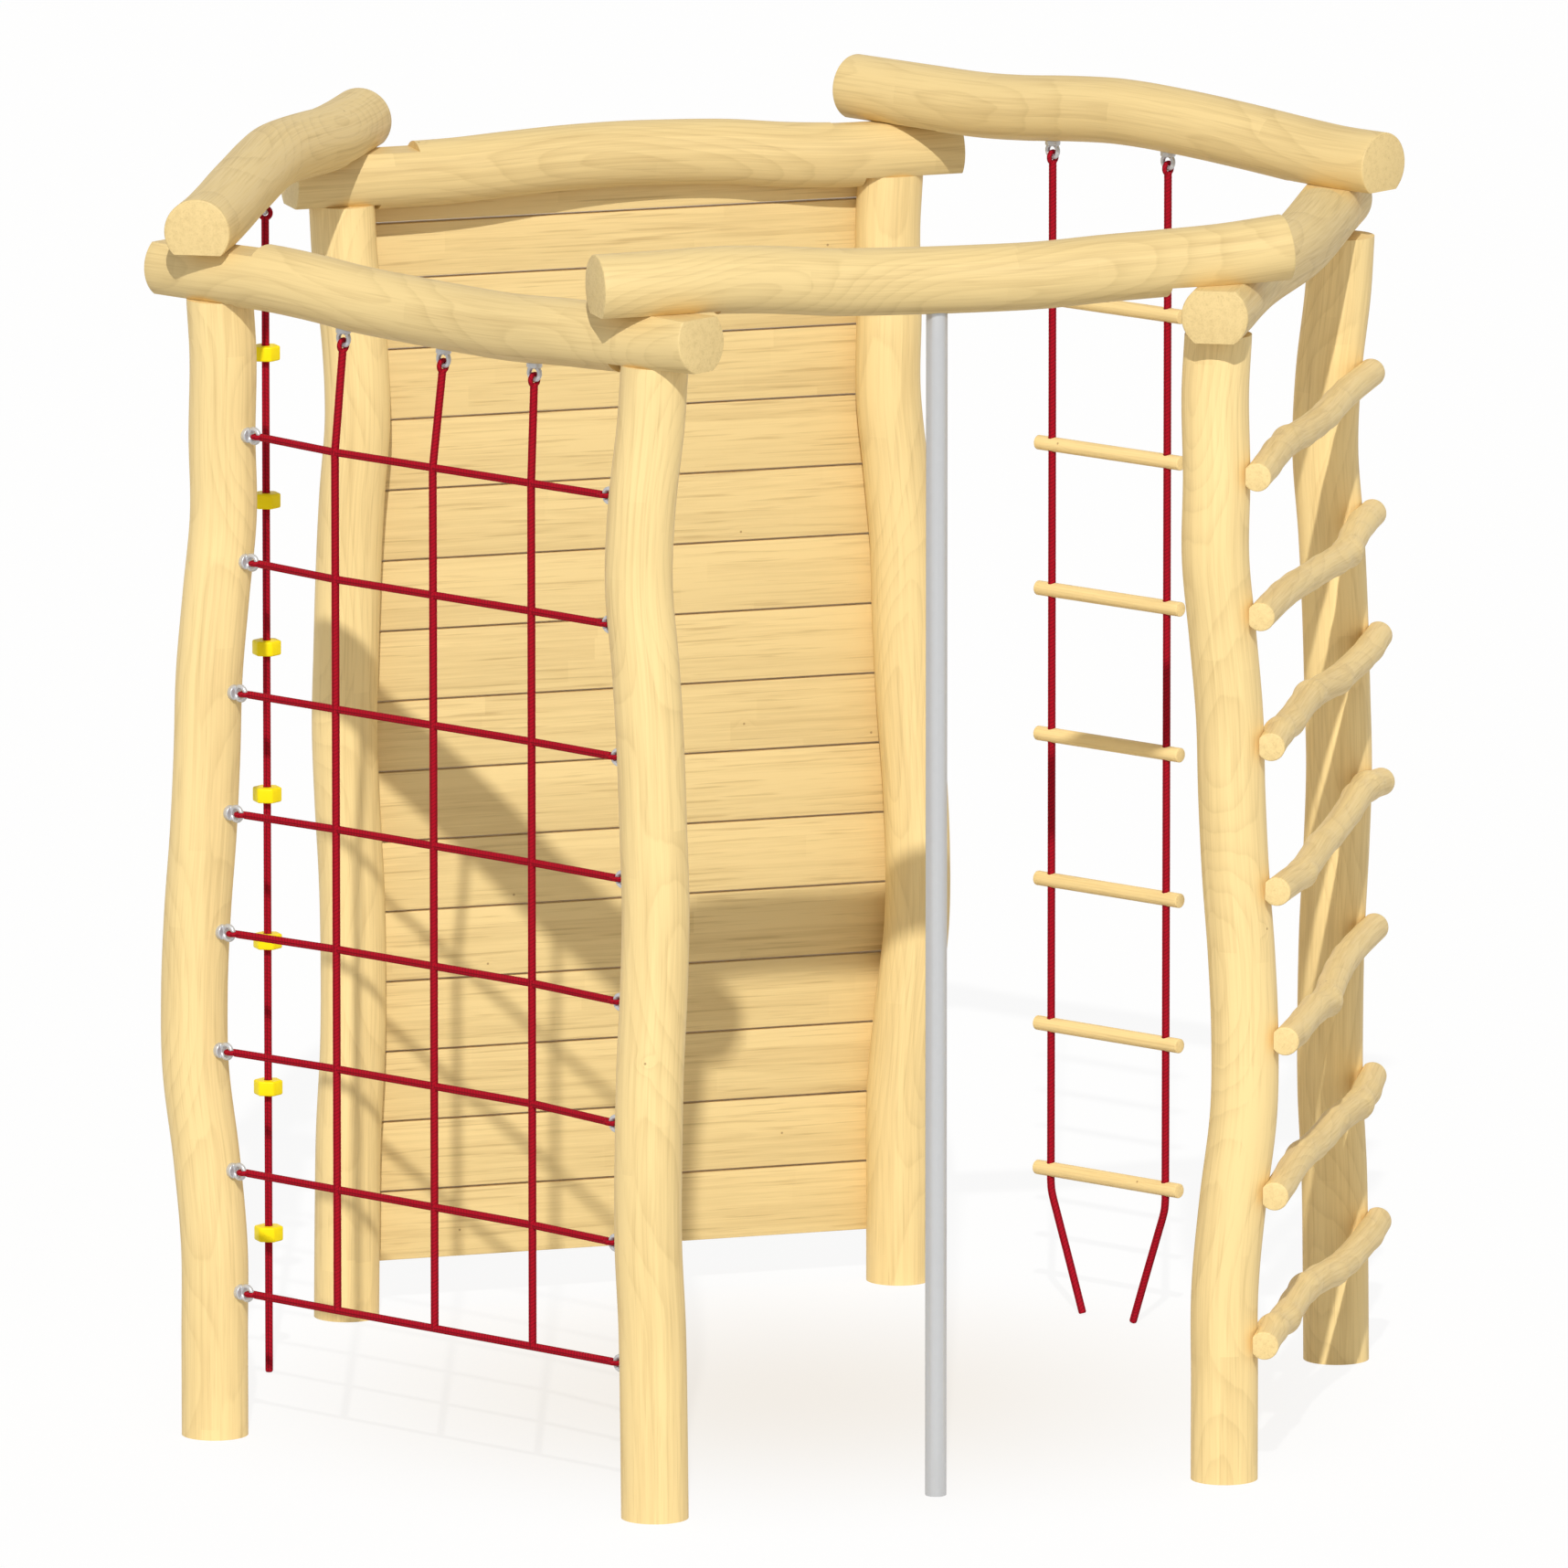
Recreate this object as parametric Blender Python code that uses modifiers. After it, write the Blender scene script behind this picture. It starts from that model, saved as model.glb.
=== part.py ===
"""Hexagonal climbing frame of wavy debarked logs.

Six posts stand on the corners of a hexagon and carry two levels of logs. Each side has its own
climbing piece: a rope net, a fire pole, log rungs, a rope ladder, a board wall and a rope with
knobs. Metres, +Z up, ground at z = 0, hexagon centred on the world's Z axis.
"""
import math

import bmesh
import bpy
from mathutils import Matrix, Vector
from mathutils.geometry import interpolate_bezier

# Driving dimensions of the frame
HEX_RADIUS = 1.185
SIDE = HEX_RADIUS
LOG_RADIUS = 0.0665
POST_HEIGHT = 2.300
SEAT_GAP = 0.0003
LOW_AXIS = 2.3525
SEAT_LEVEL = 2.405
HIGH_AXIS = 2.4575
BEAM_OVERHANG = 0.120
LOW_SEAT_MARGIN = 0.004
TOP_SEAT_REACH = 0.145
HIGH_SEAT_REACH = 0.130
LOG_BEVEL = 5
CUT_DEPTH = 0.100

# Threaded rods that tie each corner together
ROD_RADIUS = 0.008
ROD_BOTTOM = 2.160
ROD_TOP = 2.470
ROD_PLAY = 0.0006
ROD_SIDES = 10

# Ropes and their eye bolts
ROPE_RADIUS = 0.008
ROPE_BEVEL = 2
NET_BEVEL = 1
EYE_MEAN_RADIUS = 0.0135
EYE_BAR_RADIUS = 0.0050
EYE_REACH = 0.020
EYE_COLLAR_RADIUS = 0.0155
EYE_COLLAR_LENGTH = 0.009
SHANK_RADIUS = 0.0055
SHANK_END = 0.062
SHANK_PLAY = 0.0006
SHANK_LAP = 0.003
SHANK_SIDES = 6
SPOT_SIDES = 8
EYE_RING_STEPS = 8
EYE_RING_SIDES = 4
LINK_MEAN_RADIUS = 0.0110
LINK_BAR_RADIUS = 0.0050
LINK_GAP = 0.0008
ROPE_END_GAP = 0.0010
LINK_RING_STEPS = 10
LINK_RING_SIDES = 6
ROPE_STEP = 0.048

# Routes of the hanging ropes under their eyes: height and shift towards the ladder's middle
CLIMBING_ROPE_ROUTE = ((1.200, 0.000), (0.004, 0.000))
LADDER_ROPE_ROUTE = (
    (1.600, 0.000), (0.900, 0.000), (0.300, 0.000), (0.270, 0.000),
    (0.245, 0.003), (0.200, 0.018), (0.100, 0.053), (0.004, 0.086),
)

# Net
NET_ROWS = (2.029, 1.774, 1.513, 1.271, 1.029, 0.787, 0.543, 0.298)
NET_MIDDLE = 0.598
NET_PITCH = 0.2625
UPRIGHT_OFFSET = 0.001
UPRIGHT_END = 0.004

# Fire pole
POLE_RADIUS = 0.0212
POLE_SOCKET = 0.040
POLE_PLAY = 0.0006
POLE_INSET = 0.030
POLE_SIDES = 20

# Rope ladder and climbing rope
LADDER_MIDDLE = 0.5975
LADDER_GAUGE = 0.306
RUNG_TOP = 2.0925
RUNG_RADIUS = 0.015
RUNG_LENGTH = 0.381
HOLD_COUNT = 7
HOLD_PITCH = 0.300
RUNG_SIDES = 10
BORE_RADIUS = 0.0092
BORE_SIDES = 8
KNOB_TOP = 2.090
KNOB_RADIUS = 0.030
KNOB_CHAMFER = 0.004
KNOB_HEIGHT = 0.030
KNOB_TURN = 64.0
KNOB_SIDES = 6

# Log rungs
LOG_RUNG_RADIUS = 0.029
LOG_RUNG_LEAN = 42.0
LOG_RUNG_FRONT_STAND_OFF = 0.090
LOG_RUNG_BACK_STAND_OFF = 0.083
LOG_RUNG_FRONT_OVERHANG = 0.050
LOG_RUNG_BACK_OVERHANG = 0.025
LOG_RUNG_BEVEL = 3
SCRIBE_GAP = 0.0012

# Board wall
BOARD_COUNT = 16
BOARD_BOTTOM = 0.101
BOARD_PITCH = 0.1451
FULL_BOARDS = 14
NARROW_BOARD_PITCH = 0.115
WALL_TOP = 2.315
WALL_SET_BACK = 0.054
BOARD_GAP = 0.0046
BOARD_THICKNESS = 0.028
BOARD_EASE = 0.0015
REBATE_PLAY = 0.0012

# Shading: least angle of a sharp edge, in degrees
LOG_SHARP = 40.0
CUT_SHARP = 30.0
END_EDGES = 75.0

# Sway of a post: height, sway to its wide side and to its slim side, in metres
POST_SWAY = (
    (0.000, 0.000, 0.000), (0.200, 0.000, -0.002), (0.380, 0.000, -0.005), (0.560, 0.015, -0.014),
    (0.740, 0.036, -0.015), (0.900, 0.038, -0.012), (1.060, 0.031, -0.004), (1.220, 0.019, 0.001),
    (1.380, 0.011, -0.003), (1.540, 0.006, -0.008), (1.700, -0.008, -0.016), (1.860, -0.023, -0.028),
    (2.020, -0.021, -0.022), (2.180, -0.024, -0.004), (2.300, -0.018, 0.003),
)

# Posts in order round the hexagon: name, corner angle and turn of the log's wide side, degrees
POSTS = (
    ("post_net_left", 180, 162),
    ("post_net_right", 240, -103),
    ("post_ladder_front", 300, -18),
    ("post_ladder_back", 0, -108),
    ("post_wall_right", 60, -18),
    ("post_wall_left", 120, 72),
)

# Sway of the beams: distance from the first post, rise and outward sway, in metres
DIPPED_BEAM = (
    (-0.120, 0.002, 0.000), (0.000, 0.003, 0.000), (0.140, 0.004, -0.008), (0.260, -0.004, -0.019),
    (0.380, -0.016, -0.028), (0.520, -0.022, -0.033), (0.660, -0.024, -0.028), (0.800, -0.022, -0.014),
    (0.930, -0.014, -0.005), (1.050, -0.010, -0.005), (1.180, -0.004, -0.005), (1.305, 0.008, -0.006),
)
LADDER_LOG_BEAM = (
    (-0.120, 0.000, -0.003), (0.000, 0.001, -0.006), (0.140, 0.003, -0.011), (0.280, 0.005, -0.013),
    (0.410, 0.004, -0.012), (0.540, 0.002, -0.008), (0.670, 0.000, -0.004), (0.790, 0.000, -0.004),
    (0.920, 0.002, -0.008), (1.050, 0.004, -0.014), (1.180, 0.006, -0.020), (1.305, 0.008, -0.024),
)
ROPE_LADDER_BEAM = (
    (-0.114, 0.000, 0.000), (0.000, 0.001, 0.000), (0.110, 0.008, 0.001), (0.230, 0.019, -0.004),
    (0.350, 0.029, -0.011), (0.460, 0.036, -0.018), (0.530, 0.038, -0.020), (0.600, 0.037, -0.021),
    (0.710, 0.029, -0.022), (0.830, 0.017, -0.019), (0.950, 0.009, -0.012), (1.100, 0.008, -0.008),
    (1.305, 0.008, -0.004),
)
WALL_BEAM = (
    (-0.120, -0.006, 0.000), (0.000, -0.008, 0.000), (0.120, -0.010, 0.004), (0.240, -0.005, 0.014),
    (0.360, 0.006, 0.022), (0.480, 0.011, 0.024), (0.600, 0.014, 0.018), (0.720, 0.013, 0.008),
    (0.840, 0.009, -0.006), (0.960, 0.003, -0.014), (1.100, 0.001, -0.018), (1.305, -0.001, -0.018),
)
ROPE_BEAM = (
    (-0.120, -0.008, -0.008), (0.025, -0.007, -0.005), (0.165, -0.003, 0.001), (0.265, 0.004, 0.010),
    (0.395, 0.013, 0.020), (0.515, 0.018, 0.026), (0.645, 0.015, 0.024), (0.775, 0.011, 0.018),
    (0.905, 0.007, 0.012), (1.045, 0.000, 0.006), (1.185, -0.005, 0.001), (1.305, -0.007, 0.000),
)

# Beams: name, first corner, upper level or not, sway
BEAMS = (
    ("beam_net", 0, False, DIPPED_BEAM),
    ("beam_pole", 1, True, DIPPED_BEAM),
    ("beam_log_ladder", 2, False, LADDER_LOG_BEAM),
    ("beam_rope_ladder", 3, True, ROPE_LADDER_BEAM),
    ("beam_wall", 4, False, WALL_BEAM),
    ("beam_climbing_rope", 5, True, ROPE_BEAM),
)

# Log rungs: height at the front and back posts, and sway up and inward at each tenth of the length
LOG_RUNGS = (
    (2.029, 2.019, (0.0, 0.004, 0.011, 0.013, 0.004, 0.0, -0.001, 0.003, 0.004, 0.002, 0.0)),
    (1.750, 1.734, (0.0, 0.002, 0.003, 0.0, -0.007, -0.012, -0.020, -0.023, -0.009, -0.001, 0.0)),
    (1.487, 1.488, (0.0, 0.009, 0.007, 0.012, 0.016, 0.007, -0.003, -0.005, -0.007, -0.006, 0.0)),
    (1.196, 1.190, (0.0, -0.005, -0.011, -0.006, 0.0, 0.0, 0.003, 0.007, 0.015, 0.015, 0.0)),
    (0.898, 0.895, (0.0, -0.005, -0.005, -0.007, -0.016, -0.004, 0.004, 0.008, 0.007, 0.004, 0.0)),
    (0.586, 0.586, (0.0, 0.003, 0.008, 0.010, 0.003, 0.0, 0.0, -0.006, -0.015, -0.011, 0.0)),
    (0.282, 0.283, (0.0, 0.010, 0.006, 0.014, 0.018, 0.010, -0.003, -0.008, -0.008, -0.007, 0.0)),
)

UP = Vector((0.0, 0.0, 1.0))


def clear_scene():
    """Empty the scene and give the parts and the cutters a collection each."""
    for thing in list(bpy.data.objects):
        bpy.data.objects.remove(thing, do_unlink=True)
    collections = []
    for name in ("hexagonal_climbing_frame", "cutters"):
        collection = bpy.data.collections.new(name)
        bpy.context.scene.collection.children.link(collection)
        collections.append(collection)
    return collections


PARTS, CUTTERS = clear_scene()


def make_material(name, colour, roughness, metallic=0.0):
    """A Principled material of one colour."""
    material = bpy.data.materials.new(name)
    material.use_nodes = True
    shader = material.node_tree.nodes["Principled BSDF"]
    shader.inputs["Base Color"].default_value = (*colour, 1.0)
    shader.inputs["Roughness"].default_value = roughness
    shader.inputs["Metallic"].default_value = metallic
    material.diffuse_color = (*colour, 1.0)
    return material


LOG_WOOD = make_material("debarked_log", (0.84, 0.62, 0.30), 0.55)
BOARD_WOOD = make_material("planed_board", (0.82, 0.61, 0.31), 0.55)
RUNG_WOOD = make_material("turned_rung", (0.80, 0.58, 0.28), 0.50)
ROPE_RED = make_material("red_rope", (0.53, 0.01, 0.03), 0.75)
KNOB_YELLOW = make_material("yellow_plastic", (1.00, 0.72, 0.01), 0.35)
STEEL = make_material("galvanised_steel", (0.60, 0.61, 0.62), 0.35, 0.9)


def corner(index):
    """Foot of a post on the ground, counted round the hexagon from the net's left post."""
    angle = math.radians(POSTS[index % 6][1])
    return Vector((HEX_RADIUS * math.cos(angle), HEX_RADIUS * math.sin(angle), 0.0))


def side_frame(index):
    """First corner, direction along the side and outward direction of one side."""
    start = corner(index)
    along = (corner(index + 1) - start).normalized()
    return start, along, along.cross(UP)


def blend_rows(rows, value):
    """Read a sway table between its rows: the two columns after the first."""
    for low, high in zip(rows, rows[1:]):
        if value <= high[0]:
            share = max(0.0, (value - low[0]) / (high[0] - low[0]))
            return [a + (b - a) * share for a, b in zip(low[1:], high[1:])]
    return list(rows[-1][1:])


def post_centre(index, height):
    """Centre of a post's section at a height."""
    wide, slim = blend_rows(POST_SWAY, height)
    turn = math.radians(POSTS[index % 6][2])
    wide_side = Vector((math.cos(turn), math.sin(turn), 0.0))
    return corner(index) + wide_side * wide + UP.cross(wide_side) * slim + UP * height


def beam_centre(index, distance):
    """Centre of a beam's section at a distance from its first corner."""
    start, along, outward = side_frame(index)
    _, _, upper, rows = BEAMS[index]
    rise, sway = blend_rows(rows, distance)
    axis = HIGH_AXIS if upper else LOW_AXIS
    return start + along * distance + outward * sway + UP * (axis + rise)


def post_axis(index):
    """Points along a post's centre, run past its foot and top, which are cut level afterwards."""
    points = [post_centre(index, row[0]) for row in POST_SWAY]
    spare = UP * CUT_DEPTH / 2.0
    return [points[0] - spare, *points, points[-1] + spare]


def beam_axis(index):
    """Points along a beam's centre."""
    return [beam_centre(index, row[0]) for row in BEAMS[index][3]]


def mesh_object(name, mesh, material, collection=None):
    """An object for a mesh, in the parts' collection unless another is given."""
    part = bpy.data.objects.new(name, mesh)
    mesh.materials.clear()
    mesh.materials.append(material)
    (collection or PARTS).objects.link(part)
    return part


def evaluated_mesh(thing):
    """The mesh that an object's modifiers or curve settings give."""
    bpy.context.view_layer.update()
    graph = bpy.context.evaluated_depsgraph_get()
    return bpy.data.meshes.new_from_object(thing.evaluated_get(graph), depsgraph=graph)


def tube(name, points, radius, bevel, material, collection=None):
    """A round bar through points: a poly curve made a mesh with its caps welded on."""
    curve = bpy.data.curves.new(name, "CURVE")
    curve.dimensions = "3D"
    curve.bevel_depth = radius
    curve.bevel_resolution = bevel
    curve.use_fill_caps = True
    spline = curve.splines.new("POLY")
    spline.points.add(len(points) - 1)
    for knot, point in zip(spline.points, points):
        knot.co = (*point, 1.0)
    guide = bpy.data.objects.new(name, curve)
    bpy.context.scene.collection.objects.link(guide)
    mesh = evaluated_mesh(guide)
    bpy.data.objects.remove(guide, do_unlink=True)
    shape = bmesh.new()
    shape.from_mesh(mesh)
    bmesh.ops.remove_doubles(shape, verts=shape.verts, dist=1e-5)
    bmesh.ops.recalc_face_normals(shape, faces=shape.faces)
    shape.to_mesh(mesh)
    shape.free()
    mesh.name = name
    return mesh_object(name, mesh, material, collection)


def primitive(name, shape, matrix, material, collection=None):
    """An object from a filled bmesh, moved by a matrix baked into its mesh."""
    bmesh.ops.recalc_face_normals(shape, faces=shape.faces)
    mesh = bpy.data.meshes.new(name)
    shape.to_mesh(mesh)
    shape.free()
    mesh.transform(matrix)
    return mesh_object(name, mesh, material, collection)


def frame_matrix(origin, x_axis, z_axis):
    """Matrix whose local X and Z run along two square directions."""
    y_axis = z_axis.cross(x_axis)
    rotation = Matrix((x_axis, y_axis, z_axis)).transposed()
    return Matrix.Translation(origin) @ rotation.to_4x4()


def box(name, centre, size, x_axis, material, collection=None):
    """A box whose X runs along x_axis and whose Z is up."""
    shape = bmesh.new()
    bmesh.ops.create_cube(shape, size=1.0)
    matrix = frame_matrix(centre, x_axis, UP) @ Matrix.Diagonal((*size, 1.0))
    return primitive(name, shape, matrix, material, collection)


def cylinder(name, start, end, radius, sides, material, collection=None):
    """A straight round bar between two points."""
    shape = bmesh.new()
    direction = end - start
    bmesh.ops.create_cone(
        shape, cap_ends=True, segments=sides, radius1=radius, radius2=radius, depth=direction.length
    )
    z_axis = direction.normalized()
    helper = UP if abs(z_axis.z) < 0.9 else Vector((1.0, 0.0, 0.0))
    x_axis = helper.cross(z_axis).normalized()
    matrix = frame_matrix((start + end) / 2.0, x_axis, z_axis)
    return primitive(name, shape, matrix, material, collection)


def combine(part, others, operation):
    """Join others to a part, or cut them out of it, and remove them."""
    for other in others:
        other.hide_render = True
        other.display_type = "WIRE"
        step = part.modifiers.new(other.name, "BOOLEAN")
        step.operation = operation
        step.object = other
        step.solver = "EXACT"
    old_mesh = part.data
    new_mesh = evaluated_mesh(part)
    part.modifiers.clear()
    part.data = new_mesh
    new_mesh.name = part.name
    bpy.data.meshes.remove(old_mesh)
    for other in others:
        bpy.data.objects.remove(other, do_unlink=True)
    return part


def shade(part, angle=LOG_SHARP):
    """Smooth shading with sharp cut edges."""
    part.data.shade_smooth()
    part.data.set_sharp_from_angle(angle=math.radians(angle))
    return part


def ring_shape(mean_radius, bar_radius, around, across):
    """A closed ring in the local XZ plane."""
    ring = bmesh.new()
    profile = bmesh.ops.create_circle(ring, cap_ends=False, segments=across, radius=bar_radius)
    turn_up = Matrix.Translation((mean_radius, 0.0, 0.0))
    bmesh.ops.transform(ring, matrix=turn_up, verts=profile["verts"])
    bmesh.ops.spin(
        ring, geom=ring.verts[:] + ring.edges[:], cent=(0.0, 0.0, 0.0), axis=(0.0, 1.0, 0.0),
        angle=math.tau, steps=around, use_merge=True,
    )
    bmesh.ops.remove_doubles(ring, verts=ring.verts, dist=1e-6)
    return ring


def make_eye_mesh():
    """Eye bolt about its ring's centre, shank up the local Z, ring in the local XZ plane."""
    ring = primitive(
        "eye_ring", ring_shape(EYE_MEAN_RADIUS, EYE_BAR_RADIUS, EYE_RING_STEPS, EYE_RING_SIDES),
        Matrix.Identity(4), STEEL, CUTTERS,
    )
    wood = UP * (EYE_REACH - SEAT_GAP)
    inner = wood - UP * EYE_COLLAR_LENGTH
    lap = wood - UP * SHANK_LAP
    collar = cylinder("eye_collar", inner, wood, EYE_COLLAR_RADIUS, SHANK_SIDES, STEEL, CUTTERS)
    shank = cylinder("eye_shank", lap, UP * SHANK_END, SHANK_RADIUS, SHANK_SIDES, STEEL, CUTTERS)
    combine(ring, [collar, shank], "UNION")
    mesh = ring.data.copy()
    bpy.data.objects.remove(ring, do_unlink=True)
    return mesh


EYE_MESH = make_eye_mesh()


def eye_bolt(name, centre, ring_side, shank_direction):
    """One eye bolt: ring_side is a direction in the ring's plane, square to the shank."""
    mesh = EYE_MESH.copy()
    mesh.transform(frame_matrix(centre, ring_side, shank_direction))
    return mesh_object(name, mesh, STEEL, CUTTERS)


def eye_cutters(centre, shank_direction):
    """Cutters for an eye bolt's hole and for the level spot that its collar meets."""
    start = centre + shank_direction * (EYE_REACH - EYE_COLLAR_LENGTH)
    surface = centre + shank_direction * EYE_REACH
    end = centre + shank_direction * (SHANK_END + SHANK_PLAY)
    return [
        cylinder("spot", start, surface, EYE_COLLAR_RADIUS + SHANK_PLAY, SPOT_SIDES, STEEL, CUTTERS),
        cylinder("bore", start, end, SHANK_RADIUS + SHANK_PLAY, SHANK_SIDES, STEEL, CUTTERS),
    ]


def net_post_eyes():
    """Centres of the net's eyes on its left and right posts, row by row."""
    _, along, _ = side_frame(0)
    reach = LOG_RADIUS + EYE_REACH
    left = [post_centre(0, height) + along * reach for height in NET_ROWS]
    right = [post_centre(1, height) - along * reach for height in NET_ROWS]
    return left, right


def net_columns():
    """Distances of the net's upright ropes from the left post."""
    return [NET_MIDDLE + NET_PITCH * step for step in (-1, 0, 1)]


def under_beam(index, distance):
    """Centre of an eye's ring under a beam."""
    return beam_centre(index, distance) - UP * (LOG_RADIUS + EYE_REACH)


def corner_rod(index, name, play, collection=None):
    """A corner's threaded rod, or with some play the hole that takes it."""
    low = corner(index) + UP * (ROD_BOTTOM - play)
    high = corner(index) + UP * (ROD_TOP + play)
    return cylinder(name, low, high, ROD_RADIUS + play, ROD_SIDES, STEEL, collection)


def wall_rebate():
    """Cutter for the rebate on the outer side of two posts and a beam, in which the wall lies."""
    start, along, outward = side_frame(4)
    low, high = BOARD_BOTTOM - BOARD_GAP, WALL_TOP
    level = WALL_SET_BACK - BOARD_THICKNESS / 2.0 - SEAT_GAP + CUT_DEPTH / 2.0
    centre = start + along * SIDE / 2.0 + outward * level + UP * (low + high) / 2.0
    size = (SIDE + 2.0 * REBATE_PLAY, CUT_DEPTH, high - low)
    return box("wall_rebate", centre, size, along, LOG_WOOD, CUTTERS)


def build_posts():
    """Six wavy posts, bored for the corner rods and the net's eye bolts, rebated for the wall."""
    left_eyes, right_eyes = net_post_eyes()
    _, net_along, _ = side_frame(0)
    for index, (name, _, _) in enumerate(POSTS):
        post = tube(name, post_axis(index), LOG_RADIUS, LOG_BEVEL, LOG_WOOD)
        foot = corner(index)
        half = UP * CUT_DEPTH / 2.0
        size = (4.0 * LOG_RADIUS, 4.0 * LOG_RADIUS, CUT_DEPTH)
        cutters = [
            box("foot_cut", foot - half, size, net_along, LOG_WOOD, CUTTERS),
            box("top_cut", foot + UP * POST_HEIGHT + half, size, net_along, LOG_WOOD, CUTTERS),
            corner_rod(index, "rod_bore", ROD_PLAY, CUTTERS),
        ]
        if index == 0:
            for eye in left_eyes:
                cutters += eye_cutters(eye, -net_along)
        if index == 1:
            for eye in right_eyes:
                cutters += eye_cutters(eye, net_along)
        if index in (4, 5):
            cutters.append(wall_rebate())
        shade(combine(post, cutters, "DIFFERENCE"))


def seat_cutter(index, first_end, level, above, reach):
    """Block that cuts a level seat on one end of a beam."""
    start, along, _ = side_frame(index)
    outer = -2.0 * BEAM_OVERHANG
    near, far = (outer, reach) if first_end else (SIDE - reach, SIDE - outer)
    middle = start + along * (near + far) / 2.0
    centre = middle + UP * (level + (CUT_DEPTH / 2.0 if above else -CUT_DEPTH / 2.0))
    return box("seat", centre, (far - near, 4.0 * LOG_RADIUS, CUT_DEPTH), along, LOG_WOOD, CUTTERS)


def post_seat_reach(index, first_end):
    """How far a lower beam's seat runs past its corner, over the post's own top."""
    start, along, _ = side_frame(index)
    post = index if first_end else index + 1
    lean = (post_centre(post, POST_HEIGHT) - corner(post)).dot(along if first_end else -along)
    return LOG_RADIUS + lean + LOW_SEAT_MARGIN


def build_beams():
    """Six beams: the lower level sits on the posts and the upper level on the lower one."""
    for index, (name, _, upper, _) in enumerate(BEAMS):
        beam = tube(name, beam_axis(index), LOG_RADIUS, LOG_BEVEL, LOG_WOOD)
        cutters = [corner_rod(end, "rod_bore", ROD_PLAY, CUTTERS) for end in (index, index + 1)]
        for first_end in (True, False):
            if upper:
                level = SEAT_LEVEL + SEAT_GAP
                cutters.append(seat_cutter(index, first_end, level, False, HIGH_SEAT_REACH))
            else:
                level = POST_HEIGHT + SEAT_GAP
                reach = post_seat_reach(index, first_end)
                cutters.append(seat_cutter(index, first_end, level, False, reach))
                cutters.append(seat_cutter(index, first_end, SEAT_LEVEL, True, TOP_SEAT_REACH))
        if name == "beam_net":
            for distance in net_columns():
                cutters += eye_cutters(under_beam(index, distance), UP)
        if name == "beam_pole":
            cutters.append(pole_bar("pole_socket", POLE_PLAY, CUTTERS))
        if name == "beam_wall":
            cutters.append(wall_rebate())
        combine(beam, cutters, "DIFFERENCE")
        _, along, _ = side_frame(index)
        eyes = []
        if name == "beam_rope_ladder":
            eyes = [eye_bolt("eye", eye, along, UP) for eye in ladder_eyes()]
        if name == "beam_climbing_rope":
            eyes = [eye_bolt("eye", rope_eye(), along, UP)]
        if eyes:
            combine(beam, eyes, "UNION")
        shade(beam)


def build_rods():
    """Threaded rods through the beams into the posts."""
    for index in range(len(POSTS)):
        shade(corner_rod(index, f"corner_rod_{index + 1}", 0.0))


def board_levels():
    """Lower edge and height of each board, from the ground up."""
    levels = []
    foot = BOARD_BOTTOM
    for number in range(BOARD_COUNT):
        pitch = BOARD_PITCH if number < FULL_BOARDS else NARROW_BOARD_PITCH
        top = foot + pitch if number < BOARD_COUNT - 1 else WALL_TOP
        levels.append((foot, top - foot - BOARD_GAP))
        foot = top
    return levels


def build_wall():
    """Sixteen boards from the middle of one wall post to the middle of the other, edges eased."""
    start, along, outward = side_frame(4)
    middle = start + along * SIDE / 2.0 + outward * WALL_SET_BACK
    for number, (foot, height) in enumerate(board_levels(), 1):
        name = f"wall_board_{number:02d}"
        centre = middle + UP * (foot + height / 2.0)
        board = box(name, centre, (SIDE, BOARD_THICKNESS, height), along, BOARD_WOOD)
        ease = board.modifiers.new("eased_edges", "BEVEL")
        ease.width = BOARD_EASE
        ease.segments = 1
        shade(combine(board, [], "DIFFERENCE"), CUT_SHARP)


def scribe(route):
    """Cutter that shapes a rung to the post it meets."""
    return tube("scribe", route, LOG_RADIUS + SCRIBE_GAP, LOG_BEVEL, LOG_WOOD, CUTTERS)


def rung_seat(index, height):
    """Block that planes a log rung flat where it meets the outer side of a post."""
    _, along, outward = side_frame(2)
    level = LOG_RADIUS + SCRIBE_GAP - CUT_DEPTH / 2.0
    size = (2.0 * LOG_RADIUS, CUT_DEPTH, 4.0 * LOG_RUNG_RADIUS)
    return box("seat", post_centre(index, height) + outward * level, size, along, LOG_WOOD, CUTTERS)


def build_log_rungs():
    """Seven wavy rungs, seated on the outer side of the front and back ladder posts."""
    _, along, outward = side_frame(2)
    lean = math.radians(LOG_RUNG_LEAN)
    sway_side = UP * math.cos(lean) - outward * math.sin(lean)
    for number, (front, back, sways) in enumerate(LOG_RUNGS, 1):
        first = post_centre(2, front) + outward * LOG_RUNG_FRONT_STAND_OFF - along * LOG_RUNG_FRONT_OVERHANG
        last = post_centre(3, back) + outward * LOG_RUNG_BACK_STAND_OFF + along * LOG_RUNG_BACK_OVERHANG
        points = []
        for step, sway in enumerate(sways):
            points.append(first.lerp(last, step / (len(sways) - 1)) + sway_side * sway)
        rung = tube(f"log_rung_{number}", points, LOG_RUNG_RADIUS, LOG_RUNG_BEVEL, LOG_WOOD)
        cutters = [rung_seat(2, front), rung_seat(3, back), scribe(post_axis(2)), scribe(post_axis(3))]
        shade(combine(rung, cutters, "DIFFERENCE"))


def pole_bar(name, play, collection=None):
    """The fire pole, or with some play its socket in the beam."""
    foot = Vector((0.0, corner(1).y + POLE_INSET, 0.0))
    beam = beam_centre(1, SIDE / 2.0)
    top = beam.z - LOG_RADIUS + POLE_SOCKET
    return cylinder(name, foot, foot + UP * (top + play), POLE_RADIUS + play, POLE_SIDES, STEEL, collection)


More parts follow.
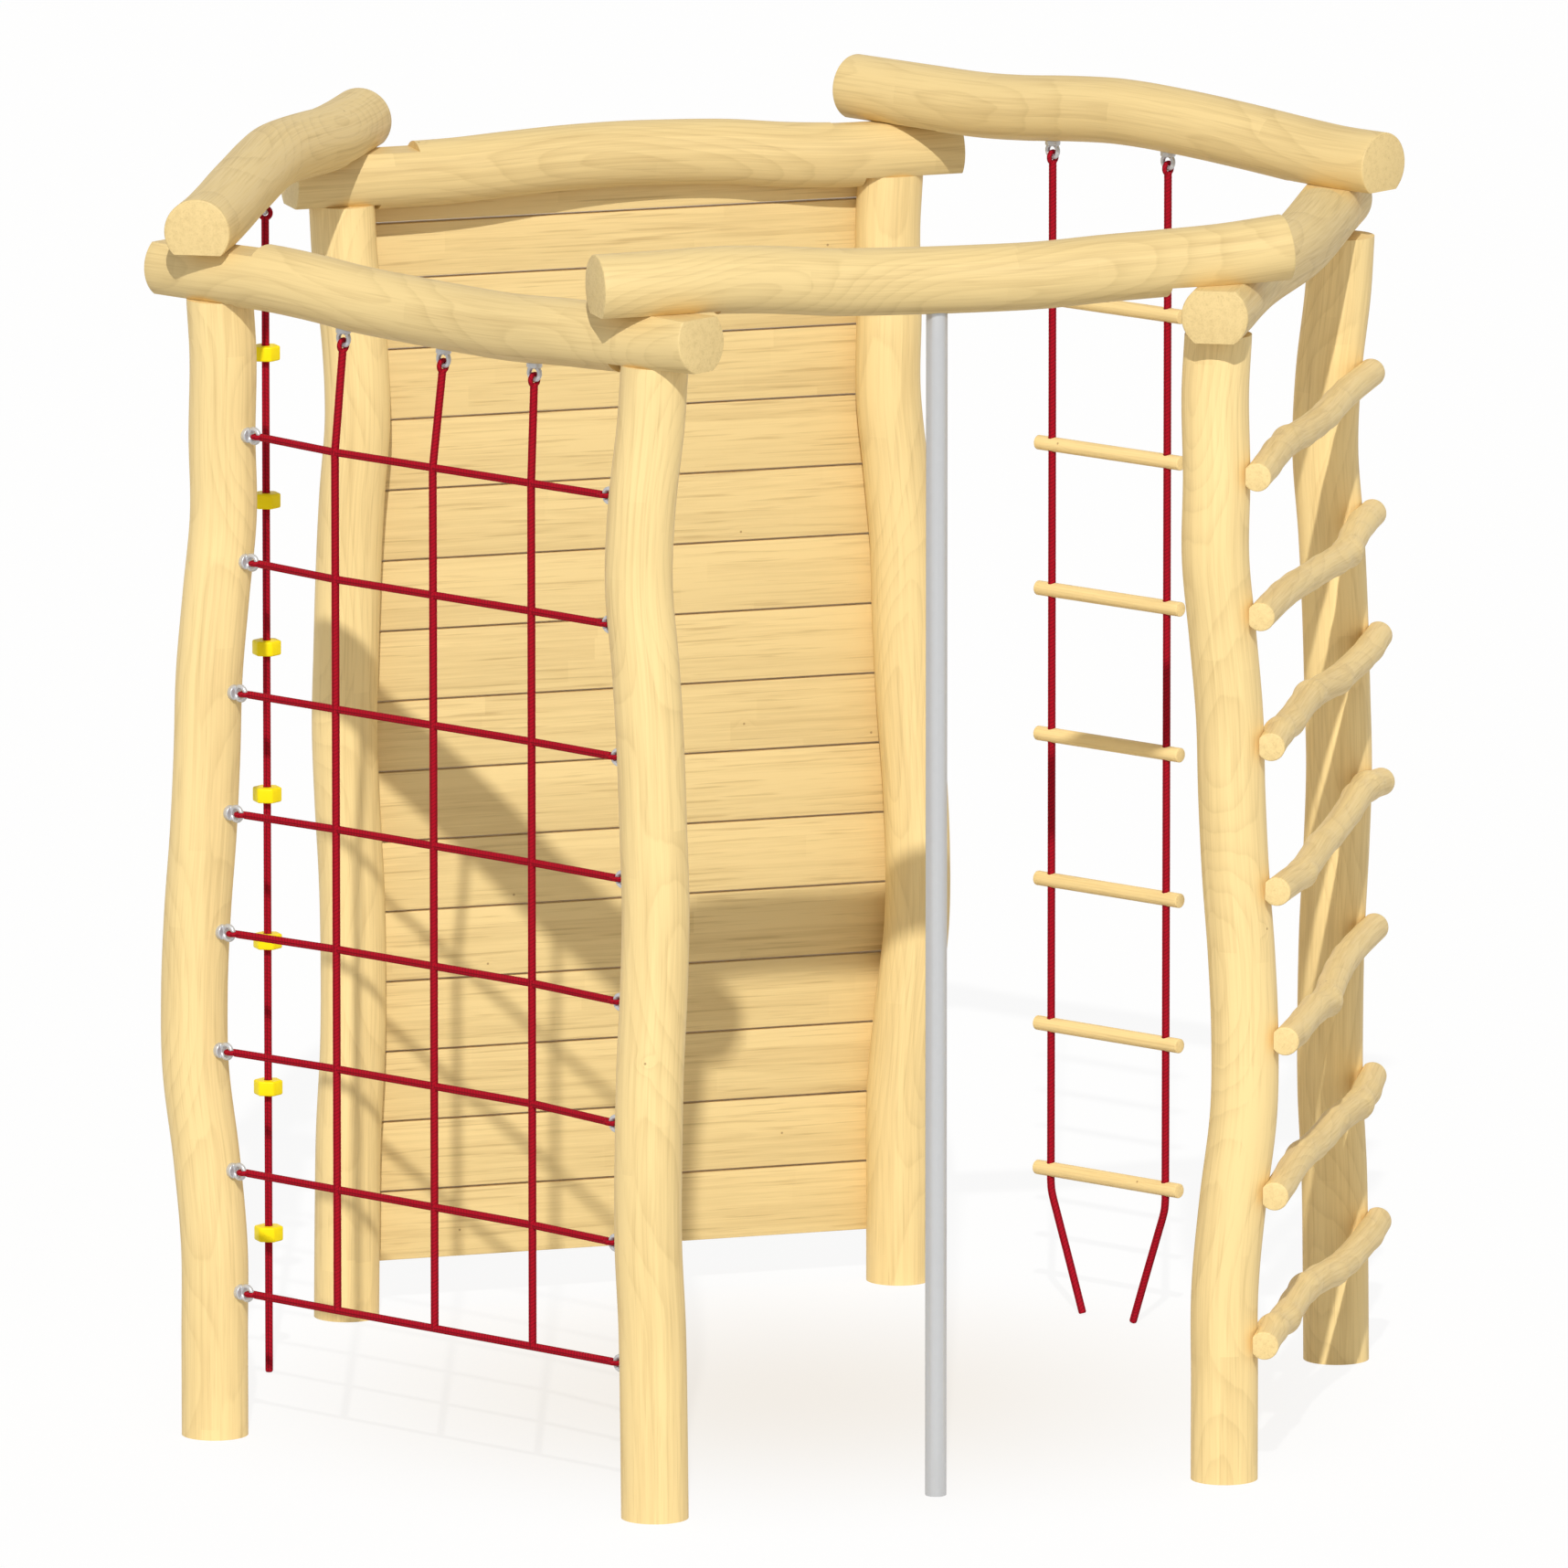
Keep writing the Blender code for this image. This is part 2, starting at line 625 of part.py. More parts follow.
def ladder_eyes():
    """Ring centres of the rope ladder's two eye bolts."""
    return [under_beam(3, LADDER_MIDDLE + side * LADDER_GAUGE / 2.0) for side in (-1, 1)]


def ladder_centre(height):
    """Middle of the rope ladder at a height: it hangs under the mean of its eyes."""
    first, second = ladder_eyes()
    middle = (first + second) / 2.0
    return Vector((middle.x, middle.y, height))


def rope_eye():
    """Ring centre of the climbing rope's eye bolt."""
    return under_beam(5, SIDE / 2.0)


def link_centre(eye):
    """Centre of a rope's link, which rests on the lower bar of its eye."""
    rise = EYE_BAR_RADIUS + LINK_BAR_RADIUS + LINK_GAP
    return eye + UP * (rise - EYE_MEAN_RADIUS - LINK_MEAN_RADIUS)


def smooth_path(route):
    """Points about one rope step apart on a smooth curve through a route."""
    befores = [route[0], *route[:-1]]
    afters = [*route[1:], route[-1]]
    headings = [(after - before).normalized() for before, after in zip(befores, afters)]
    points = [route[0]]
    for start, end, leave, arrive in zip(route, route[1:], headings, headings[1:]):
        third = (end - start).length / 3.0
        count = max(1, round(3.0 * third / ROPE_STEP))
        handles = (start + leave * third, end - arrive * third)
        points += interpolate_bezier(start, *handles, end, count + 1)[1:]
    return points


def hanging_rope(name, eye, along, inward, route):
    """A rope through its route's heights and shifts, with the link by which it hangs in its eye."""
    ring = ring_shape(LINK_MEAN_RADIUS, LINK_BAR_RADIUS, LINK_RING_STEPS, LINK_RING_SIDES)
    placed = frame_matrix(link_centre(eye), along.cross(UP), UP)
    link = primitive("link", ring, placed, ROPE_RED, CUTTERS)
    top = link_centre(eye) - UP * (LINK_MEAN_RADIUS - LINK_BAR_RADIUS + ROPE_END_GAP)
    below = [Vector((eye.x, eye.y, height)) + inward * shift for height, shift in route]
    rope = tube(name, smooth_path([top, *below]), ROPE_RADIUS, ROPE_BEVEL, ROPE_RED)
    return shade(combine(rope, [link], "UNION"))


def vertical_bore(middle, reach):
    """Cutter for the hole in which a rope runs through a rung or a knob."""
    low, high = middle - UP * reach, middle + UP * reach
    return cylinder("bore", low, high, BORE_RADIUS, BORE_SIDES, ROPE_RED, CUTTERS)


def build_knob(name, centre):
    """A six-sided knob with eased ends, bored for the rope."""
    shape = bmesh.new()
    bmesh.ops.create_cone(
        shape, cap_ends=True, segments=KNOB_SIDES, radius1=KNOB_RADIUS, radius2=KNOB_RADIUS,
        depth=KNOB_HEIGHT,
    )
    turned = Matrix.Translation(centre) @ Matrix.Rotation(math.radians(KNOB_TURN), 4, "Z")
    knob = primitive(name, shape, turned, KNOB_YELLOW)
    ease = knob.modifiers.new("eased_ends", "BEVEL")
    ease.width = KNOB_CHAMFER
    ease.segments = 1
    ease.limit_method = "ANGLE"
    ease.angle_limit = math.radians(END_EDGES)
    shade(combine(knob, [vertical_bore(centre, KNOB_HEIGHT)], "DIFFERENCE"), CUT_SHARP)


def build_climbing_rope():
    """A rope with seven knobs."""
    _, along, outward = side_frame(5)
    eye = rope_eye()
    hanging_rope("climbing_rope", eye, along, -outward, CLIMBING_ROPE_ROUTE)
    for number in range(HOLD_COUNT):
        height = KNOB_TOP - HOLD_PITCH * number
        build_knob(f"climbing_knob_{number + 1}", Vector((eye.x, eye.y, height)))


def build_rope_ladder():
    """Two ropes and seven round rungs that they pass through."""
    eyes = ladder_eyes()
    span = eyes[1] - eyes[0]
    along = Vector((span.x, span.y, 0.0)).normalized()
    names = ("ladder_rope_right", "ladder_rope_left")
    for name, inward, eye in zip(names, (along, -along), eyes):
        hanging_rope(name, eye, along, inward, LADDER_ROPE_ROUTE)
    for number in range(HOLD_COUNT):
        centre = ladder_centre(RUNG_TOP - HOLD_PITCH * number)
        half = along * RUNG_LENGTH / 2.0
        name = f"ladder_rung_{number + 1}"
        rung = cylinder(name, centre - half, centre + half, RUNG_RADIUS, RUNG_SIDES, RUNG_WOOD)
        holes = [Vector((eye.x, eye.y, centre.z)) for eye in eyes]
        bores = [vertical_bore(hole, 2.0 * RUNG_RADIUS) for hole in holes]
        shade(combine(rung, bores, "DIFFERENCE"))


def build_net():
    """Eight level ropes and three upright ones, with the eye bolts that hold them."""
    start, along, outward = side_frame(0)
    left_eyes, right_eyes = net_post_eyes()
    pieces = []
    for left, right in zip(left_eyes, right_eyes):
        crossings = [start + along * distance + UP * left.z for distance in net_columns()]
        pieces.append(tube("level", [left, *crossings, right], ROPE_RADIUS, NET_BEVEL, ROPE_RED, CUTTERS))
        pieces.append(eye_bolt("eye", left, UP, -along))
        pieces.append(eye_bolt("eye", right, UP, along))
    for distance in net_columns():
        eye = under_beam(0, distance)
        middle = start + along * distance + outward * UPRIGHT_OFFSET
        heights = (*NET_ROWS[:-1], NET_ROWS[-1] - UPRIGHT_END)
        route = [eye, *(middle + UP * height for height in heights)]
        pieces.append(tube("upright", route, ROPE_RADIUS, NET_BEVEL, ROPE_RED, CUTTERS))
        pieces.append(eye_bolt("eye", eye, along, UP))
    net = mesh_object("climbing_net", pieces[0].data.copy(), ROPE_RED)
    bpy.data.objects.remove(pieces[0], do_unlink=True)
    shade(combine(net, pieces[1:], "UNION"))


build_posts()
build_beams()
build_rods()
build_wall()
build_log_rungs()
shade(pole_bar("fire_pole", 0.0))
build_climbing_rope()
build_rope_ladder()
build_net()
bpy.data.meshes.remove(EYE_MESH)
bpy.data.collections.remove(CUTTERS)
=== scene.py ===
"""Looks of the hexagonal climbing frame: logs, boards, rungs, ropes, knobs and steel.

Metres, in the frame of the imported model: +Z up, ground at z = 0, hexagon centred on the Z axis.
"""
import bisect
import math

import bmesh
import bpy
import numpy as np
from mathutils import Matrix, Vector
from mathutils.geometry import interpolate_bezier


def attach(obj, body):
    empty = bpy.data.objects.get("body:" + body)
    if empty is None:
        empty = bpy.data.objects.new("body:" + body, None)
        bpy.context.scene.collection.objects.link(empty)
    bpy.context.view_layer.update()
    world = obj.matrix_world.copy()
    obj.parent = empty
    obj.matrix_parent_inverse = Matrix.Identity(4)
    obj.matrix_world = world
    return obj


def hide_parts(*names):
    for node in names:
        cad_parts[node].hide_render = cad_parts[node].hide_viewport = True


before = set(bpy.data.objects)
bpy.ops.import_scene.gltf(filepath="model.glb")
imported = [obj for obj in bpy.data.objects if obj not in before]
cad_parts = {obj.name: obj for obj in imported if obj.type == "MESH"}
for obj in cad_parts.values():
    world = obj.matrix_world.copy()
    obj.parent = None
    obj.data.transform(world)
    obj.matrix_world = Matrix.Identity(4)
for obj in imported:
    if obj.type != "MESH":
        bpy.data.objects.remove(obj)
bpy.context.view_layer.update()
UP = Vector((0.0, 0.0, 1.0))
LEVEL = (Vector((1.0, 0.0, 0.0)), Vector((0.0, 1.0, 0.0)))


def metres(*rows):
    """The rows of a table that is written in millimetres."""
    return tuple(tuple(value / 1000.0 for value in row) for row in rows)


# Camera at the photograph's angle
CAMERA_AZIMUTH = -18.089
CAMERA_ELEVATION = 10.635
CAMERA_DISTANCE = 55.52
CAMERA_LENS = 634.2
CAMERA_RANGE = 200.0
AIM_RIGHT = 0.0096
AIM_UP = 1.2298

# Light
SUN_HEADING = (0.319, 0.930)
SUN_DROP = 38.2
SUN_STRENGTH = 2.45
SUN_SPREAD = 0.8
SKY_STRENGTH = 0.94
SKY_FALL = 0.78
SKY_SEEN = (0.8, 0.8, 0.8, 1.0)
FLOOR_SIZE = 90.0
FLOOR_COLOUR = (1.00, 0.98, 0.95, 1.0)
FLOOR_BOUNCE = (0.61, 0.61, 0.60, 1.0)
FLOOR_GLOW = 0.90
# Painted shade on the floor's glow: its cream tint in the middle under the frame, and how far it
# reaches
FLOOR_PAINTED_SHADE = (0.890, 0.848, 0.790, 1.0)
PAINTED_SHADE_REACH = 1.40

# Driving dimensions, as in the part's source
HEX_RADIUS = 1.185
SIDE = HEX_RADIUS
NET_SIDE, POLE_SIDE, LOG_SIDE, LADDER_SIDE, WALL_SIDE, ROPE_SIDE = range(6)
LOG_RADIUS = 0.0665
POST_HEIGHT = 2.300
SEAT_GAP = 0.0003
LOW_AXIS = 2.3525
SEAT_LEVEL = 2.405
HIGH_AXIS = 2.4575
BEAM_OVERHANG = 0.120
LOW_SEAT_MARGIN = 0.004
TOP_SEAT_REACH = 0.145
HIGH_SEAT_REACH = 0.130
CUT_DEPTH = 0.100
ROD_RADIUS = 0.0086
ROD_BOTTOM = 2.1594
ROD_TOP = 2.4706

ROPE_RADIUS = 0.008
EYE_MEAN_RADIUS = 0.0135
EYE_BAR_RADIUS = 0.0050
EYE_REACH = 0.020
EYE_COLLAR_RADIUS = 0.0155
EYE_COLLAR_LENGTH = 0.009
SHANK_RADIUS = 0.0055
SHANK_END = 0.062
SHANK_PLAY = 0.0006
LINK_MEAN_RADIUS = 0.0110
LINK_BAR_RADIUS = 0.0050
LINK_GAP = 0.0008
ROPE_END_GAP = 0.0010

# Routes of the hanging ropes below their eyes, in mm: height and way inward
CLIMBING_ROPE_ROUTE = metres((1200, 0), (4, 0))
LADDER_ROPE_ROUTE = metres(
    (1600, 0), (900, 0), (300, 0), (270, 0), (245, 3), (200, 18), (100, 53), (4, 86)
)

NET_ROWS = (2.029, 1.774, 1.513, 1.271, 1.029, 0.787, 0.543, 0.298)
NET_MIDDLE = 0.598
NET_PITCH = 0.2625
UPRIGHT_OFFSET = 0.001
UPRIGHT_END = 0.004

POLE_RADIUS = 0.0212
POLE_SOCKET = 0.040
POLE_PLAY = 0.0006
POLE_INSET = 0.030
POLE_EASE = 0.0012
POLE_STEP = 0.1

LADDER_MIDDLE = 0.5975
LADDER_GAUGE = 0.306
RUNG_TOP = 2.0925
RUNG_RADIUS = 0.015
RUNG_LENGTH = 0.381
RUNG_EASE = 0.002
HOLD_COUNT = 7
HOLD_PITCH = 0.300
BORE_RADIUS = 0.0088
KNOB_TOP = 2.090
KNOB_RADIUS = 0.030
KNOB_ROUND = 0.0028
KNOB_CHAMFER = 0.0038
KNOB_HEIGHT = 0.030
KNOB_TURN = 64.0
KNOB_SIDES = 6

LOG_RUNG_RADIUS = 0.029
LOG_RUNG_LEAN = 42.0
SCRIBE_GAP = 0.0012

# Ends of the log rungs: post, distance outward from its centre and distance along the side
LOG_RUNG_ENDS = ((2, 0.090, -0.050), (3, 0.083, 0.025))

# Lumps of the log rungs at their bends
BEND_STEPS = 3
LUMP_BEND = 0.016
LUMP_REACH = 0.036
LUMP_WAIST = 0.980
LUMP_SWELL = 0.15

BOARD_COUNT = 16
BOARD_BOTTOM = 0.101
BOARD_PITCH = 0.1451
FULL_BOARDS = 14
NARROW_BOARD_PITCH = 0.115
WALL_TOP = 2.315
WALL_SET_BACK = 0.054
BOARD_GAP = 0.0046
BOARD_THICKNESS = 0.028
BOARD_EASE = 0.0016
REBATE_PLAY = 0.0012

# Fineness of the surfaces
LOG_AROUND = 64
LOG_STEP = 0.020
RUNG_AROUND = 40
LOG_EASE = 0.003
EASE_STEPS = 3
BORE_SIDES = 24
ROPE_LOBES = 4
ROPE_AROUND = 16
ROPE_STITCH = 0.0075
ROPE_STEP = ROPE_STITCH / 3.0
ROPE_SLANT = 0.9
LOBE_DEPTH, LOBE_SHAPE = 0.065, 0.6
STITCH_DEPTH, STITCH_SHAPE = 0.045, 0.5
ROPE_TIP = 0.78
LINK_RING = (LINK_MEAN_RADIUS, LINK_BAR_RADIUS, 12, 36)
ROPE_YARNS = 5.0
GROOVE_START = 0.34
EYE_VOXEL = 0.0009
EYE_SOFTENINGS = 3
EYE_RING = (EYE_MEAN_RADIUS, EYE_BAR_RADIUS, 16, 40)
COLLAR_AROUND = 32
COLLAR_STEP = 0.004
COLLAR_EASE = 0.0022
COLLAR_SUNK = 0.003
KNOB_STEPS = 4
BOARD_STEPS = 3
ROPE_END_ROUND = 0.003
SMOOTH_ANGLE = 35.0
SEED_STEP = 7.3
BEAM_SEED, LOG_RUNG_SEED, RUNG_SEED = 10, 20, 30

# Sway of a post, in mm: height, sway to its wide side and to its slim side
POST_SWAY = metres(
    (0, 0, 0), (200, 0, -2), (380, 0, -5), (560, 15, -14), (740, 36, -15), (900, 38, -12),
    (1060, 31, -4), (1220, 19, 1), (1380, 11, -3), (1540, 6, -8), (1700, -8, -16), (1860, -23, -28),
    (2020, -21, -22), (2180, -24, -4), (2300, -18, 3),
)

# Posts in order round the hexagon: name, corner angle and turn of the log's wide side, in degrees
POSTS = (
    ("post_net_left", 180, 162),
    ("post_net_right", 240, -103),
    ("post_ladder_front", 300, -18),
    ("post_ladder_back", 0, -108),
    ("post_wall_right", 60, -18),
    ("post_wall_left", 120, 72),
)

# Sway of the beams, in mm: distance from the first post, rise and outward sway
DIPPED_BEAM = metres(
    (-120, 2, 0), (0, 3, 0), (140, 4, -8), (260, -4, -19), (380, -16, -28), (520, -22, -33),
    (660, -24, -28), (800, -22, -14), (930, -14, -5), (1050, -10, -5), (1180, -4, -5),
    (1305, 8, -6),
)
LADDER_LOG_BEAM = metres(
    (-120, 0, -3), (0, 1, -6), (140, 3, -11), (280, 5, -13), (410, 4, -12), (540, 2, -8),
    (670, 0, -4), (790, 0, -4), (920, 2, -8), (1050, 4, -14), (1180, 6, -20), (1305, 8, -24),
)
ROPE_LADDER_BEAM = metres(
    (-114, 0, 0), (0, 1, 0), (110, 8, 1), (230, 19, -4), (350, 29, -11), (460, 36, -18),
    (530, 38, -20), (600, 37, -21), (710, 29, -22), (830, 17, -19), (950, 9, -12), (1100, 8, -8),
    (1305, 8, -4),
)
WALL_BEAM = metres(
    (-120, -6, 0), (0, -8, 0), (120, -10, 4), (240, -5, 14), (360, 6, 22), (480, 11, 24),
    (600, 14, 18), (720, 13, 8), (840, 9, -6), (960, 3, -14), (1100, 1, -18), (1305, -1, -18),
)
ROPE_BEAM = metres(
    (-120, -8, -8), (25, -7, -5), (165, -3, 1), (265, 4, 10), (395, 13, 20), (515, 18, 26),
    (645, 15, 24), (775, 11, 18), (905, 7, 12), (1045, 0, 6), (1185, -5, 1), (1305, -7, 0),
)

STRAIGHT = ((0.0, 0.0, 0.0), (1.0, 0.0, 0.0))

# Beams: name, upper level or not, sway
BEAMS = (
    ("beam_net", False, DIPPED_BEAM),
    ("beam_pole", True, DIPPED_BEAM),
    ("beam_log_ladder", False, LADDER_LOG_BEAM),
    ("beam_rope_ladder", True, ROPE_LADDER_BEAM),
    ("beam_wall", False, WALL_BEAM),
    ("beam_climbing_rope", True, ROPE_BEAM),
)

# Log rungs, in mm: height at the front and back posts, then sway up and inward at each tenth of the
# length
LOG_RUNGS = metres(
    (2029, 2019, 0, 4, 11, 13, 4, 0, -1, 3, 4, 2, 0),
    (1750, 1734, 0, 2, 3, 0, -7, -12, -20, -23, -9, -1, 0),
    (1487, 1488, 0, 9, 7, 12, 16, 7, -3, -5, -7, -6, 0),
    (1196, 1190, 0, -5, -11, -6, 0, 0, 3, 7, 15, 15, 0),
    (898, 895, 0, -5, -5, -7, -16, -4, 4, 8, 7, 4, 0),
    (586, 586, 0, 3, 8, 10, 3, 0, 0, -6, -15, -11, 0),
    (282, 283, 0, 10, 6, 14, 18, 10, -3, -8, -8, -7, 0),
)


def make_camera():
    """Camera far off with a long lens, so that level lines stay nearly parallel."""
    turn, rise = math.radians(CAMERA_AZIMUTH), math.radians(CAMERA_ELEVATION)
    right = Vector((math.cos(turn), math.sin(turn), 0.0))
    level = Vector((-math.sin(turn), math.cos(turn), 0.0))
    forward = level * math.cos(rise) - UP * math.sin(rise)
    above = right.cross(forward)
    camera = scene_object("camera", bpy.data.cameras.new("camera"))
    camera.data.lens = CAMERA_LENS
    camera.data.clip_end = CAMERA_RANGE
    camera.location = right * AIM_RIGHT + above * AIM_UP - forward * CAMERA_DISTANCE
    camera.rotation_euler = forward.to_track_quat("-Z", "Y").to_euler()
    bpy.context.scene.camera = camera
    bpy.context.scene.view_settings.view_transform = "Standard"


class Nodes:
    """A node tree whose nodes are added one call at a time."""

    def __init__(self, tree):
        self.tree = tree

    def add(self, kind, inputs=(), output=0, **settings):
        """Add a node, fill or link its inputs, and give one of its outputs."""
        made = self.tree.nodes.new(kind)
        for name, value in settings.items():
            setattr(made, name, value)
        for key, value in dict(inputs).items():
            if isinstance(value, bpy.types.NodeSocket):
                self.tree.links.new(value, made.inputs[key])
            else:
                made.inputs[key].default_value = value
        return made.outputs[output]

    def math(self, operation, *values):
        """A Math node."""
        return self.add("ShaderNodeMath", enumerate(values), operation=operation)

    def scaled(self, value, factor, added=0.0):
        """A value times a factor, plus what is added."""
        return self.math("MULTIPLY_ADD", value, factor, added)

    def vector(self, operation, *values, output=0):
        """A Vector Math node."""
        return self.add("ShaderNodeVectorMath", enumerate(values), output, operation=operation)

    def join(self, x=0.0, y=0.0, z=0.0):
        """A vector from three values."""
        return self.add("ShaderNodeCombineXYZ", enumerate((x, y, z)))

    def split(self, value):
        """The three values of a vector."""
        return self.add("ShaderNodeSeparateXYZ", {0: value}).node.outputs

    def attribute(self, name):
        """A stored attribute of the mesh, as a vector."""
        return self.add("ShaderNodeAttribute", output="Vector", attribute_name=name)

    def seen(self):
        """One where the camera, a mirror or a glass looks, and zero for light on the object."""
        share = self.add("ShaderNodeLightPath", output="Is Camera Ray")
        for kind in ("Is Glossy Ray", "Is Transmission Ray"):
            share = self.math("MAXIMUM", share, self.add("ShaderNodeLightPath", output=kind))
        return share

    def show(self, output, share, first, second):
        """Send a mix of two shaders to the tree's output."""
        mixed = self.add("ShaderNodeMixShader", enumerate((share, first, second)))
        self.tree.links.new(mixed, self.tree.nodes[output].inputs["Surface"])

    def noise(self, place, repeats, detail=2.0, output="Fac"):
        """Noise that repeats about so often per metre in each direction."""
        place = self.vector("MULTIPLY", place, repeats)
        inputs = {"Vector": place, "Scale": 1.0, "Detail": detail}
        return self.add("ShaderNodeTexNoise", inputs, output)

    def sway(self, base, part, share):
        """A base that a part between zero and one moves up and down."""
        return self.scaled(self.math("SUBTRACT", part, 0.5), share, base)

    def chance(self, place):
        """A random value for each whole place."""
        return self.add("ShaderNodeTexWhiteNoise", {"Vector": place}, "Value")

    def step(self, value, low, high, start=0.0, end=1.0):
        """A smooth change from start to end as a value goes from low to high."""
        inputs = {"Value": value, "From Min": low, "From Max": high, "To Min": start, "To Max": end}
        return self.add("ShaderNodeMapRange", inputs, interpolation_type="SMOOTHSTEP")

    def blend(self, share, first, second):
        """A mix of two colours."""
        inputs = {0: share, 6: first, 7: second}
        return self.add("ShaderNodeMix", inputs, 2, data_type="RGBA")


class Finish(Nodes):
    """A Principled material."""

    def __init__(self, name, **settings):
        self.material = bpy.data.materials.new(name)
        self.material.use_nodes = True
        super().__init__(self.material.node_tree)
        self.shader = self.tree.nodes["Principled BSDF"]
        for socket, value in settings.items():
            self.shader.inputs[socket.replace("_", " ")].default_value = value

    def use(self, socket, value):
        """Link a value to one of the shader's own sockets."""
        self.tree.links.new(value, self.shader.inputs[socket])

    def roughen(self, part, smooth, rough):
        """Roughness that follows a noise from one value to another."""
        self.use("Roughness", self.step(part, *NOISE_RANGE, smooth, rough))

    def bump(self, height, strength, distance):
        """Bump from a height."""
        inputs = {"Height": height, "Strength": strength, "Distance": distance}
        self.use("Normal", self.add("ShaderNodeBump", inputs))


WHITE = (1.0, 1.0, 1.0, 1.0)
LIGHT_WOOD = (0.922, 0.694, 0.315, 1.0)
DARK_WOOD = (0.655, 0.462, 0.192, 1.0)
KNOT_BROWN = (0.300, 0.160, 0.060, 1.0)
ROPE_LIGHT, ROPE_DARK_AND_GROOVE_SHADE = (0.400, 0.003, 0.015, 1.0), (0.080, 0.001, 0.004, 1.0)
STEEL_LIGHT, STEEL_DARK = (0.60, 0.605, 0.61, 1.0), (0.49, 0.495, 0.50, 1.0)
KNOB_LIGHT, KNOB_DARK = (1.0, 0.800, 0.006, 1.0), (0.98, 0.740, 0.005, 1.0)

# Grain of the wood: repeats per metre on the two sides and along it, and shares of the dark tone
PITH_REPEATS = 1.7
RIPPLE_REPEATS, RIPPLE_DEPTH = (16.0, 16.0, 1.7), 0.005
FIBRE_REPEATS, FIBRE_SHARE = (300.0, 300.0, 8.0), 0.75
STREAK_REPEATS, STREAK_SHARE = (85.0, 85.0, 1.3), 0.80
CLOUD_REPEATS, CLOUD_SHARE = (9.0, 9.0, 2.4), 0.40
DASH_REPEATS, DASH_RANGE = (165.0, 165.0, 5.0), (0.57, 0.70)
NOISE_RANGE = (0.3, 0.7)
RING_SHARPNESS, RING_EDGE, RING_RELIEF = 3.0, 0.90, 0.5
BARK_SHARES, END_GRAIN = (0.80, 0.95), 0.2
BLOCK_REPEATS, BLOCK_SHARE, BLOCK_SEED = 1.7, 0.28, 3.0
BASE_DARK = 0.10
STAVE_WIDTH = 0.038
STRIP_WIDTH, STRIP_START = 0.044, 0.010
KNOT_PLACES, KNOTLESS_SHARE, KNOT_SHARE = 3.4, 0.80, 0.7
KNOT_RIM, KNOT_CORE = 0.011, 0.005
KNOT_REACH, KNOT_BEND = 0.11, 0.005

# Rope, steel and plastic: repeats per metre, shares of the dark tone, and relief
FUZZ_REPEATS, FUZZ_SHARE = (40.0, 900.0, 0.0), 0.35
# The rope's grooves between strands and stitches get a painted shade
YARN_SHARE, GROOVE_PAINTED_SHADE, YARN_RELIEF = 0.06, 0.78, 0.15
DRAWN_REPEATS, DRAWN_SHARE = (130.0, 130.0, 1.2), 0.45
SPANGLE_REPEATS, SPANGLE_SHARE, STEEL_DARKNESS = (120.0, 120.0, 70.0), 0.10, 0.30
SKIN_REPEATS, TINT_REPEATS = (700.0,) * 3, (35.0,) * 3

# Least and most roughness, and strength and depth of the bump
WOOD_ROUGHNESS, WOOD_BUMP = (0.50, 0.64), (0.25, 0.0006)
STEEL_ROUGHNESS, STEEL_BUMP = (0.36, 0.44), (0.05, 0.0004)
KNOB_ROUGHNESS, KNOB_BUMP = (0.34, 0.46), (0.12, 0.0003)
ROPE_BUMP = (0.4, 0.0008)


def wood_staves(wood, radius, first, second):
    """Distance across the grain, and the number of the stave or strip that a point is in."""
    if not radius:
        shifted = wood.math("ADD", second, STRIP_START)
        return second, wood.math("FLOOR", wood.math("DIVIDE", shifted, STRIP_WIDTH))
    turn = wood.math("DIVIDE", wood.math("ARCTAN2", second, first), math.tau)
    staves = round(math.tau * radius / STAVE_WIDTH)
    across = wood.scaled(turn, math.tau * radius)
    return across, wood.math("FLOOR", wood.scaled(turn, staves))


def wood_knots(wood, across, run):
    """How far a point is inside a knot, and how far a knot bends the rings near it."""
    spots = {"Vector": wood.join(across, run), "Scale": KNOT_PLACES}
    spot = wood.add("ShaderNodeTexVoronoi", spots, voronoi_dimensions="2D")
    kind = wood.add("ShaderNodeTexVoronoi", spots, "Color", voronoi_dimensions="2D")
    chosen = wood.math("GREATER_THAN", wood.split(kind)[0], KNOTLESS_SHARE)
    knot = wood.scaled(wood.step(spot, KNOT_RIM, KNOT_CORE), chosen)
    return knot, wood.scaled(wood.step(spot, KNOT_REACH, 0.0, 0.0, KNOT_BEND), chosen)


